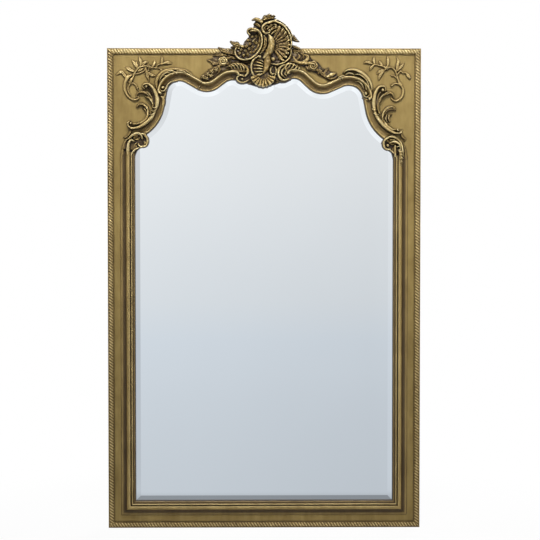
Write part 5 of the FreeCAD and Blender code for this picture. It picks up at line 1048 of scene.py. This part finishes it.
# Leaves of the crest
carve(carving, [
    ([(261.6, 22.6), (258.6, 20.6), (255.4, 20), (252.4, 20.8)], [1.6, 1.9, 1.7, 0.7], [30, 30, 27, 20],
     0.06, roll),
    ([(259.6, 27.4), (257, 25.2), (254, 24.8)], [1.4, 1.6, 0.7], [26, 25, 18], DARK, leaf),
    ([(261.6, 21.6), (265, 18.4), (269.4, 16.8), (274.6, 16.8)], [1.3, 2.2, 2.2, 0.9], [27, 28, 27, 20],
     DARK, leaf, 3),
    ([(264, 20.6), (268.6, 19), (273.6, 18.6)], [1.0, 1.6, 0.7], [29, 29, 22], -0.10, leaf),
    ([(289, 34.4), (292.4, 37.8), (296, 40.6), (299, 42)], [2.0, 3.2, 2.2, 0.5], [22, 21, 18, 12], -0.10,
     leaf),
    ([(291.4, 46), (294.4, 47.2), (298.4, 49), (302, 51.6)], [1.2, 2.0, 1.9, 0.7], [20, 18, 17, 13], DARK,
     leaf),
    ([(243.4, 47.4), (239.6, 46), (235.4, 44.6), (231.2, 42.2)], [1.3, 2.6, 3.2, 1.0], [25, 25, 21, 15],
     -0.10, leaf, 2),
    ([(239, 48.8), (235.2, 47.4), (231.4, 47.6)], [1.2, 1.9, 0.7], [23, 21, 15], DARK, leaf),
    ([(236, 55), (232.4, 53.6), (230, 50.8)], [1.2, 1.9, 0.7], [21, 20, 14], DARK, leaf),
    ([(237, 58.6), (232.6, 58.2), (228.6, 55.6)], [1.2, 1.7, 0.6], [20, 18, 12], DARK, leaf),
    ([(231, 54), (227, 52.4), (223, 50.6), (219, 48)], [1.4, 2.6, 2.6, 0.8], [19, 19, 17, 12], -0.10, leaf),
    ([(226, 55.6), (221, 54.8), (216, 53.4)], [1.2, 2.0, 0.7], [17, 16, 12], DARK, leaf, 2),
    ([(232, 57.6), (227.4, 58.8), (223, 58.4)], [1.2, 2.0, 0.7], [18, 17, 12], -0.08, leaf, 2),
])
for centre in (
    (239.6, 53.4), (243.6, 55.4), (247.8, 55), (251.6, 52.6), (241.4, 50.2), (245.6, 51.2), (249.4, 49.2),
    (253, 47.4), (246.4, 46.6), (250.2, 44), (253.8, 41.6), (248.6, 40.8), (252.6, 37.2), (256.4, 36.8),
    (256.8, 43.6), (243, 47),
):
    carving.flower(centre, 1.9, 29, turn=centre[0], tone=0.14)
for centre, radius, rise in (((259.9, 57.4), 1.4, 38), ((273.2, 59.4), 1.8, 37), ((269.8, 31.4), 1.4, 37)):
    carving.ball(centre, radius, rise, LIGHT)
carving.groove([(269.3, 66), (268.8, 70), (269.6, 74)], 0.6, 14)
carving.finish("crest_shell", GILT, ["crest_plate", "crest_carving"], 1, 0.9)


# Straight lengths: a profile from the outer edge inwards, swept along one side with mitred ends
Side = namedtuple("Side", "start along inward length")
left_top = side_high[2]
right_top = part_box("sight_moulding_right")[1][2]
rope_left_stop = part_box("rope_border_top_left")[1][0]
rope_right_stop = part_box("rope_border_top_right")[0][0]
FORWARD = Vector((0, -1, 0))


def straight_piece(name, node, side, profile, mitred_start, mitred_end, stations):
    """A profile swept along a side: profile(reach) gives places inwards, heights, and patina with painted
    light.

    reach(distance) is how far along the side the points at that distance inwards lie.
    """
    vertices = []
    patina_and_painted_light = []
    for station in range(stations + 1):
        share = station / stations

        def reach(distance):
            begin = distance if mitred_start else 0.0
            finish = side.length - (distance if mitred_end else 0.0)
            return begin + (finish - begin) * share

        distances, heights, shades = profile(reach)
        for distance, height, shade in zip(distances, heights, shades):
            spot = side.start + side.along * reach(distance) + side.inward * distance
            vertices.append(spot + FORWARD * height)
            patina_and_painted_light.append(shade)
    row = len(distances)
    faces = []
    for station in range(stations):
        for place_in in range(row):
            after = (place_in + 1) % row
            base = station * row
            faces.append((base + place_in, base + row + place_in, base + row + after, base + after))
    faces.append(tuple(range(row)))
    faces.append(tuple(range(stations * row + row - 1, stations * row - 1, -1)))
    add_piece(name, vertices, faces, carved_gold, [node], patina_and_painted_light, crease_degrees=40.0)


SIDES = {
    "left": (Vector((1, 0, 0)), Vector((0, 0, -1))),
    "bottom": (Vector((0, 0, 1)), Vector((1, 0, 0))),
    "right": (Vector((-1, 0, 0)), Vector((0, 0, 1))),
    "top": (Vector((0, 0, -1)), Vector((-1, 0, 0))),
}


def side_of(side, x, z, length):
    inward, along = SIDES[side]
    return Side(Vector((x, ground, z)), along, inward, length)


ROPE_PITCH = 10.6 * MM
ROPE_SLANT = 3.2
ROPE_STATIONS_PER_TWIST = 10
ROPE_FROM = 2.8
ROPE_TO = 19.0
ROPE_EDGE = 22.0
ROPE_FILLET = 5.0
ROPE_RISE = 4.2
ROPE_POINTS = 17
# Painted light: the top lengths of rope are lighter, as if lit from above
TOP_ROPE_PAINTED_LIGHT = 0.20


def rope_profile(reach, slant, painted_top_light):
    inwards = [0.0, 0.0, 0.8, 2.2]
    heights = [0.0, ROPE_FILLET - 0.8, ROPE_FILLET, ROPE_FILLET]
    shades = [0.4, 0.5, 0.72, 0.62]
    for across in np.linspace(-1, 1, ROPE_POINTS):
        inward = ROPE_FROM + (ROPE_TO - ROPE_FROM) * (across + 1) / 2
        twist = 0.5 + 0.5 * math.cos(2 * math.pi * reach(inward * MM) / ROPE_PITCH + slant * across)
        swell = math.sqrt(max(1 - across ** 2, 0.0))
        inwards.append(inward)
        heights.append(ROPE_FILLET - 0.9 + ROPE_RISE * swell * (0.50 + 0.50 * twist))
        # Painted light on the twist: painted highlight on the crown, painted shade in the valleys between
        # strands
        shades.append(0.42 + painted_top_light + 0.18 * swell + (0.52 - painted_top_light) * (twist - 0.5))
    # Painted shadow: a dark line along the inner edge of the rope
    inwards += [19.6, 20.8, 21.3, ROPE_EDGE, ROPE_EDGE]
    heights += [ROPE_FILLET, ROPE_FILLET, 4.2, 1.2, 0.0]
    shades += [0.6, 0.5, 0.12, 0.03, 0.03]
    return [value * MM for value in inwards], [value * MM for value in heights], shades


def rope(name, side, mitred_start, mitred_end, slant, painted_top_light=0.0):
    def profile(reach):
        return rope_profile(reach, slant, painted_top_light)

    stations = int(side.length / ROPE_PITCH) * ROPE_STATIONS_PER_TWIST
    straight_piece(name + "_twist", name, side, profile, mitred_start, mitred_end, stations)


full_height = 2 * half_height
left_side = side_of("left", -half_width, half_height, full_height)
rope("rope_border_left", left_side, True, True, -ROPE_SLANT)
right_side = side_of("right", half_width, -half_height, full_height)
rope("rope_border_right", right_side, True, True, -ROPE_SLANT)
bottom_side = side_of("bottom", -half_width, -half_height, 2 * half_width)
rope("rope_border_bottom", bottom_side, True, True, ROPE_SLANT)
right_part = side_of("top", half_width, half_height, half_width - rope_right_stop)
rope("rope_border_top_right", right_part, True, False, ROPE_SLANT, TOP_ROPE_PAINTED_LIGHT)
left_part = side_of("top", rope_left_stop, half_height, half_width + rope_left_stop)
rope("rope_border_top_left", left_part, False, True, ROPE_SLANT, TOP_ROPE_PAINTED_LIGHT)

# Section of the sight moulding: millimetres inwards, millimetres in front of the ground, and patina, with
# painted shade in the toe line, the cove and the quirks and painted highlights on the ridge and bead
MOULDING_SECTION = [
    (46.0, 0.0, 0.05), (46.6, 1.6, 0.12), (47.4, 3.0, 0.45), (48.4, 3.4, 0.62), (51.0, 3.4, 0.56),
    (53.8, 3.4, 0.42), (55.6, 3.5, 0.26), (58.0, 3.8, 0.21), (61.0, 4.8, 0.19), (63.6, 6.8, 0.22),
    (65.6, 10.0, 0.30), (67.2, 13.6, 0.46), (68.6, 16.4, 0.66), (70.4, 18.4, 0.72), (72.6, 19.8, 0.70),
    (75.0, 20.8, 0.72), (77.2, 21.0, 0.78), (79.0, 20.2, 0.70), (80.4, 17.6, 0.40), (81.0, 13.2, 0.08),
    (82.6, 12.8, 0.08), (83.2, 14.2, 0.36), (84.4, 15.8, 0.74), (86.2, 16.4, 0.84), (88.0, 15.2, 0.64),
    (89.4, 12.6, 0.36), (90.0, 10.2, 0.14), (92.0, 9.8, 0.24), (94.6, 9.2, 0.46), (96.2, 8.4, 0.44),
    (97.0, 7.2, 0.14), (97.0, 0.0, 0.05),
]
MOULDING_STATIONS = 48


def moulding_profile(reach):
    return (
        [point[0] * MM for point in MOULDING_SECTION],
        [point[1] * MM for point in MOULDING_SECTION],
        [point[2] for point in MOULDING_SECTION],
    )


left_run = side_of("left", -half_width, left_top, left_top + half_height)
right_run = side_of("right", half_width, -half_height, right_top + half_height)
for side, run, mitres in (
    ("left", left_run, (False, True)),
    ("bottom", bottom_side, (True, True)),
    ("right", right_run, (True, False)),
):
    straight_piece(
        "sight_run_" + side, "sight_moulding_" + side, run, moulding_profile, *mitres, MOULDING_STATIONS,
    )

# Mirror plate: a flat face inside a polished bevel that follows the shaped top and the scallops of the crest
glass_low, glass_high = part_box("mirror_glass")
glass_front = glass_low[1]
glass_back = glass_high[1]
BEVEL_WIDTH = 25.0 * MM
BEVEL_DEPTH = 2.5 * MM
SCALLOP_PIXELS = [
    (235.7, 86.3), (239.3, 88.6), (244.6, 89.0), (248.4, 87.7), (250.0, 89.5), (253.6, 91.7), (258.0, 93.5),
    (263.4, 93.9), (268.8, 92.6), (272.8, 89.9), (275.7, 86.8), (278.6, 87.7), (283.0, 88.1), (287.0, 86.8),
]
BEFORE_SCALLOPS = (4, 0.62)
AFTER_SCALLOPS = (6, 0.30)
SCALLOP_STEPS = 90
cover = glass_high[0] - sight_half


def evenly(points, count):
    """Points at equal steps along a line through the given ones."""
    points = np.array(points)
    steps = np.hypot(*np.diff(points, axis=0).T)
    reached = np.concatenate([[0], np.cumsum(steps)])
    wanted = np.linspace(0, reached[-1], count)
    return [(np.interp(at, reached, points[:, 0]), np.interp(at, reached, points[:, 1])) for at in wanted]


def plate_outline(offset, scallops):
    """The plate's outline moved outwards by an offset in metres, from the foot of the left side clockwise."""
    pixels = offset / across_scale
    rising = belt(pixels, 0, 0.0, *BEFORE_SCALLOPS)
    falling = belt(pixels, *AFTER_SCALLOPS)
    middle = smooth_line(scallops) if scallops else belt(pixels, *BEFORE_SCALLOPS, *AFTER_SCALLOPS)
    top = rising + evenly([rising[-1], *middle, falling[0]], SCALLOP_STEPS)[1:-1] + falling
    half = sight_half + offset
    foot = glass_low[2] + cover - offset
    spots = [place(across, down, 0.0) for across, down in top]
    return [(-half, foot)] + [(x, z) for x, _, z in spots] + [(half, foot)]


outer = plate_outline(cover, [])
inner = plate_outline(cover - BEVEL_WIDTH, SCALLOP_PIXELS)
count = len(outer)
shoulder = glass_front + BEVEL_DEPTH
vertices = [(x, glass_front, z) for x, z in inner]
faces = [tuple(range(count))]
for index in range(count):
    after = (index + 1) % count
    start = len(vertices)
    vertices += [
        (inner[index][0], glass_front, inner[index][1]), (inner[after][0], glass_front, inner[after][1]),
        (outer[after][0], shoulder, outer[after][1]), (outer[index][0], shoulder, outer[index][1]),
        (outer[after][0], glass_back, outer[after][1]), (outer[index][0], glass_back, outer[index][1]),
    ]
    faces.append((start, start + 3, start + 2, start + 1))
    faces.append((start + 3, start + 5, start + 4, start + 2))
back_start = len(vertices)
vertices += [(x, glass_back, z) for x, z in outer]
faces.append(tuple(range(back_start + count - 1, back_start - 1, -1)))
add_piece("mirror_plate", vertices, faces, plate_silver, ["mirror_glass"], crease_degrees=3.0)


# Studio: pale floor, white surround, a graded reflector behind the camera, soft light from above
def background_share(nodes, links):
    """One for rays from the camera, off polish and through glass, nought for the light on the object."""
    path = nodes.new("ShaderNodeLightPath")
    total = path.outputs["Is Camera Ray"]
    for kind in ("Is Glossy Ray", "Is Transmission Ray"):
        total = arithmetic(nodes, links, "MAXIMUM", total, path.outputs[kind])
    return total


WORLD_LIGHT = 0.09


def build_world():
    world = bpy.data.worlds.new("studio")
    bpy.context.scene.world = world
    world.use_nodes = True
    nodes = world.node_tree.nodes
    links = world.node_tree.links
    nodes.clear()
    output = nodes.new("ShaderNodeOutputWorld")
    seen = nodes.new("ShaderNodeBackground")
    seen.inputs["Color"].default_value = (1, 1, 1, 1)
    lit = nodes.new("ShaderNodeBackground")
    lit.inputs["Color"].default_value = (1, 0.98, 0.95, 1)
    lit.inputs["Strength"].default_value = WORLD_LIGHT
    mix = nodes.new("ShaderNodeMixShader")
    links.new(background_share(nodes, links), mix.inputs["Fac"])
    links.new(lit.outputs["Background"], mix.inputs[1])
    links.new(seen.outputs["Background"], mix.inputs[2])
    links.new(mix.outputs["Shader"], output.inputs["Surface"])


def stage_mesh(name, points, faces, material):
    mesh = bpy.data.meshes.new(name)
    mesh.from_pydata(points, [], faces)
    mesh.materials.append(material)
    stage_object = bpy.data.objects.new(name, mesh)
    bpy.context.scene.collection.objects.link(stage_object)
    return stage_object


FLOOR_SIZE = 16.0
FLOOR_LEVEL = -half_height - 0.5 * MM
SHADOW_START = 0.9
SHADOW_REACH = 1.6
SHADOW_SHARE = 0.04


def build_floor():
    material, nodes, links, shader = new_material("pale_floor")
    shader.inputs["Base Color"].default_value = (0.9, 0.9, 0.9, 1.0)
    shader.inputs["Roughness"].default_value = 0.9
    glow = nodes.new("ShaderNodeEmission")
    glow.inputs["Color"].default_value = (1, 1, 1, 1)
    coordinates = nodes.new("ShaderNodeTexCoord")
    distance = nodes.new("ShaderNodeVectorMath")
    distance.operation = "LENGTH"
    links.new(coordinates.outputs["Object"], distance.inputs[0])
    away_from_foot = nodes.new("ShaderNodeMapRange")
    away_from_foot.interpolation_type = "SMOOTHSTEP"
    away_from_foot.inputs["From Min"].default_value = SHADOW_START
    away_from_foot.inputs["From Max"].default_value = SHADOW_REACH
    away_from_foot.inputs["To Min"].default_value = 1 - SHADOW_SHARE
    away_from_foot.inputs["To Max"].default_value = 1.0
    links.new(distance.outputs["Value"], away_from_foot.inputs["Value"])
    background = background_share(nodes, links)
    share = arithmetic(nodes, links, "MULTIPLY", away_from_foot.outputs["Result"], background)
    mix = nodes.new("ShaderNodeMixShader")
    links.new(share, mix.inputs["Fac"])
    links.new(shader.outputs["BSDF"], mix.inputs[1])
    links.new(glow.outputs["Emission"], mix.inputs[2])
    links.new(mix.outputs["Shader"], nodes["Material Output"].inputs["Surface"])
    turns = ((-1, -1), (1, -1), (1, 1), (-1, 1))
    corners = [(x * FLOOR_SIZE, y * FLOOR_SIZE, 0.0) for x, y in turns]
    floor = stage_mesh("floor", corners, [(0, 1, 2, 3)], material)
    floor.location = (0.0, 0.0, FLOOR_LEVEL)


CAMERA_DISTANCE = 6.4
REFLECTOR_AWAY = 8.5
REFLECTOR_HALF = 7.0
REFLECTOR_TOP = 6.0
REFLECTOR_GAP = 0.06
REFLECTOR_EDGE = 0.01
# Greys of the reflector: upwards on its standing part, then towards the mirror on the part laid on the floor
STANDING_GREYS = [(-0.86, 0.715), (-0.53, 0.755), (0.57, 0.858), (1.02, 0.893), (2.8, 1.0)]
LYING_GREYS = [
    (-8.5, 0.715), (-5.6, 0.695), (-1.43, 0.640), (-0.78, 0.630), (-0.55, 0.420), (-0.40, 0.305),
    (0.0, 0.295),
]
# Shares of those greys across the mirror as the camera sees it: the side bevels lie outside 0.47
SIDE_SHARES = [
    (-1.18, 0.76), (-0.64, 0.86), (-0.50, 0.98), (-0.41, 1.0), (0.41, 0.91), (0.50, 0.92), (0.64, 1.0),
    (1.18, 0.97),
]
WARM_TINT = (0.962, 1.0, 1.028)
MIDDLE_TINT = (0.940, 1.0, 1.052)
COOL_TINT = (0.915, 1.0, 1.085)
NO_TINT = (1.0, 1.0, 1.0)


def graded(nodes, links, value, pairs, tints):
    """A colour by place: greys at places, each with its tint."""
    first, last = pairs[0][0], pairs[-1][0]
    spread = nodes.new("ShaderNodeMapRange")
    spread.inputs["From Min"].default_value = first
    spread.inputs["From Max"].default_value = last
    links.new(value, spread.inputs["Value"])
    stops = [
        ((at - first) / (last - first), tuple(grey * part for part in tint))
        for (at, grey), tint in zip(pairs, tints)
    ]
    return ramped(nodes, links, spread.outputs["Result"], stops)


def build_reflector():
    material, nodes, links, _ = new_material("graded_grey")
    coordinates = nodes.new("ShaderNodeTexCoord")
    split = nodes.new("ShaderNodeSeparateXYZ")
    links.new(coordinates.outputs["Object"], split.inputs["Vector"])
    up_tints = [COOL_TINT, MIDDLE_TINT, WARM_TINT, WARM_TINT, WARM_TINT]
    standing = graded(nodes, links, split.outputs["Z"], STANDING_GREYS, up_tints)
    lying = graded(nodes, links, split.outputs["Y"], LYING_GREYS, [COOL_TINT] * len(LYING_GREYS))
    widening = arithmetic(nodes, links, "MULTIPLY_ADD", split.outputs["Y"], -1 / CAMERA_DISTANCE, 1.0)
    seen_across = arithmetic(nodes, links, "DIVIDE", split.outputs["X"], widening)
    sideways = graded(nodes, links, seen_across, SIDE_SHARES, [NO_TINT] * len(SIDE_SHARES))
    near = arithmetic(nodes, links, "GREATER_THAN", split.outputs["Y"], -REFLECTOR_AWAY + REFLECTOR_EDGE)
    grey = mix_colours(nodes, links, "MIX", near, standing, lying)
    glow = nodes.new("ShaderNodeEmission")
    links.new(mix_colours(nodes, links, "MULTIPLY", 1.0, grey, sideways), glow.inputs["Color"])
    links.new(glow.outputs["Emission"], nodes["Material Output"].inputs["Surface"])
    base = FLOOR_LEVEL + MM
    near_edge = ground - REFLECTOR_GAP
    points = []
    for y, z in ((near_edge, base), (-REFLECTOR_AWAY, base), (-REFLECTOR_AWAY, REFLECTOR_TOP)):
        points += [(-REFLECTOR_HALF, y, z), (REFLECTOR_HALF, y, z)]
    reflector = stage_mesh("reflector", points, [(0, 1, 3, 2), (2, 3, 5, 4)], material)
    reflector.visible_camera = False
    reflector.visible_diffuse = False
    reflector.visible_shadow = False


def add_light(name, place_at, target, size, power, spread_degrees=180.0):
    data = bpy.data.lights.new(name, "AREA")
    data.shape = "RECTANGLE"
    data.size, data.size_y = size
    data.energy = power
    data.spread = math.radians(spread_degrees)
    lamp = bpy.data.objects.new(name, data)
    lamp.location = place_at
    lamp.rotation_euler = (Vector(target) - Vector(place_at)).to_track_quat("-Z", "Y").to_euler()
    bpy.context.scene.collection.objects.link(lamp)
    return lamp


build_world()
build_floor()
build_reflector()
add_light("key_light", (-0.2, -2.2, 2.7), (0.0, 0.0, 0.58), (2.6, 0.7), 13.5, 50.0)
fill = add_light("fill_light", (1.6, -3.0, 1.2), (0.0, 0.0, 0.2), (1.6, 1.6), 8)
fill.visible_glossy = False
add_light("back_light", (1.2, 3.2, 2.4), (0.0, 0.0, 0.0), (2.0, 2.0), 110)

# Camera at the photograph's angle
CAMERA_ELEVATION = math.radians(2.3)
CAMERA_AZIMUTH = math.radians(-0.8)
VIEW_CENTRE = Vector((0.021, 0.0, 0.0680))
VIEW_HEIGHT = 1.942
SENSOR = 36.0
camera_data = bpy.data.cameras.new("camera")
camera_data.sensor_width = SENSOR
camera_data.lens = SENSOR * CAMERA_DISTANCE / VIEW_HEIGHT
camera = bpy.data.objects.new("camera", camera_data)
level = math.cos(CAMERA_ELEVATION)
away = Vector((
    level * math.sin(CAMERA_AZIMUTH), -level * math.cos(CAMERA_AZIMUTH), math.sin(CAMERA_ELEVATION),
))
camera.location = VIEW_CENTRE + away * CAMERA_DISTANCE
camera.rotation_euler = (-away).to_track_quat("-Z", "Y").to_euler()
bpy.context.scene.collection.objects.link(camera)
bpy.context.scene.camera = camera
bpy.context.scene.view_settings.view_transform = "Standard"
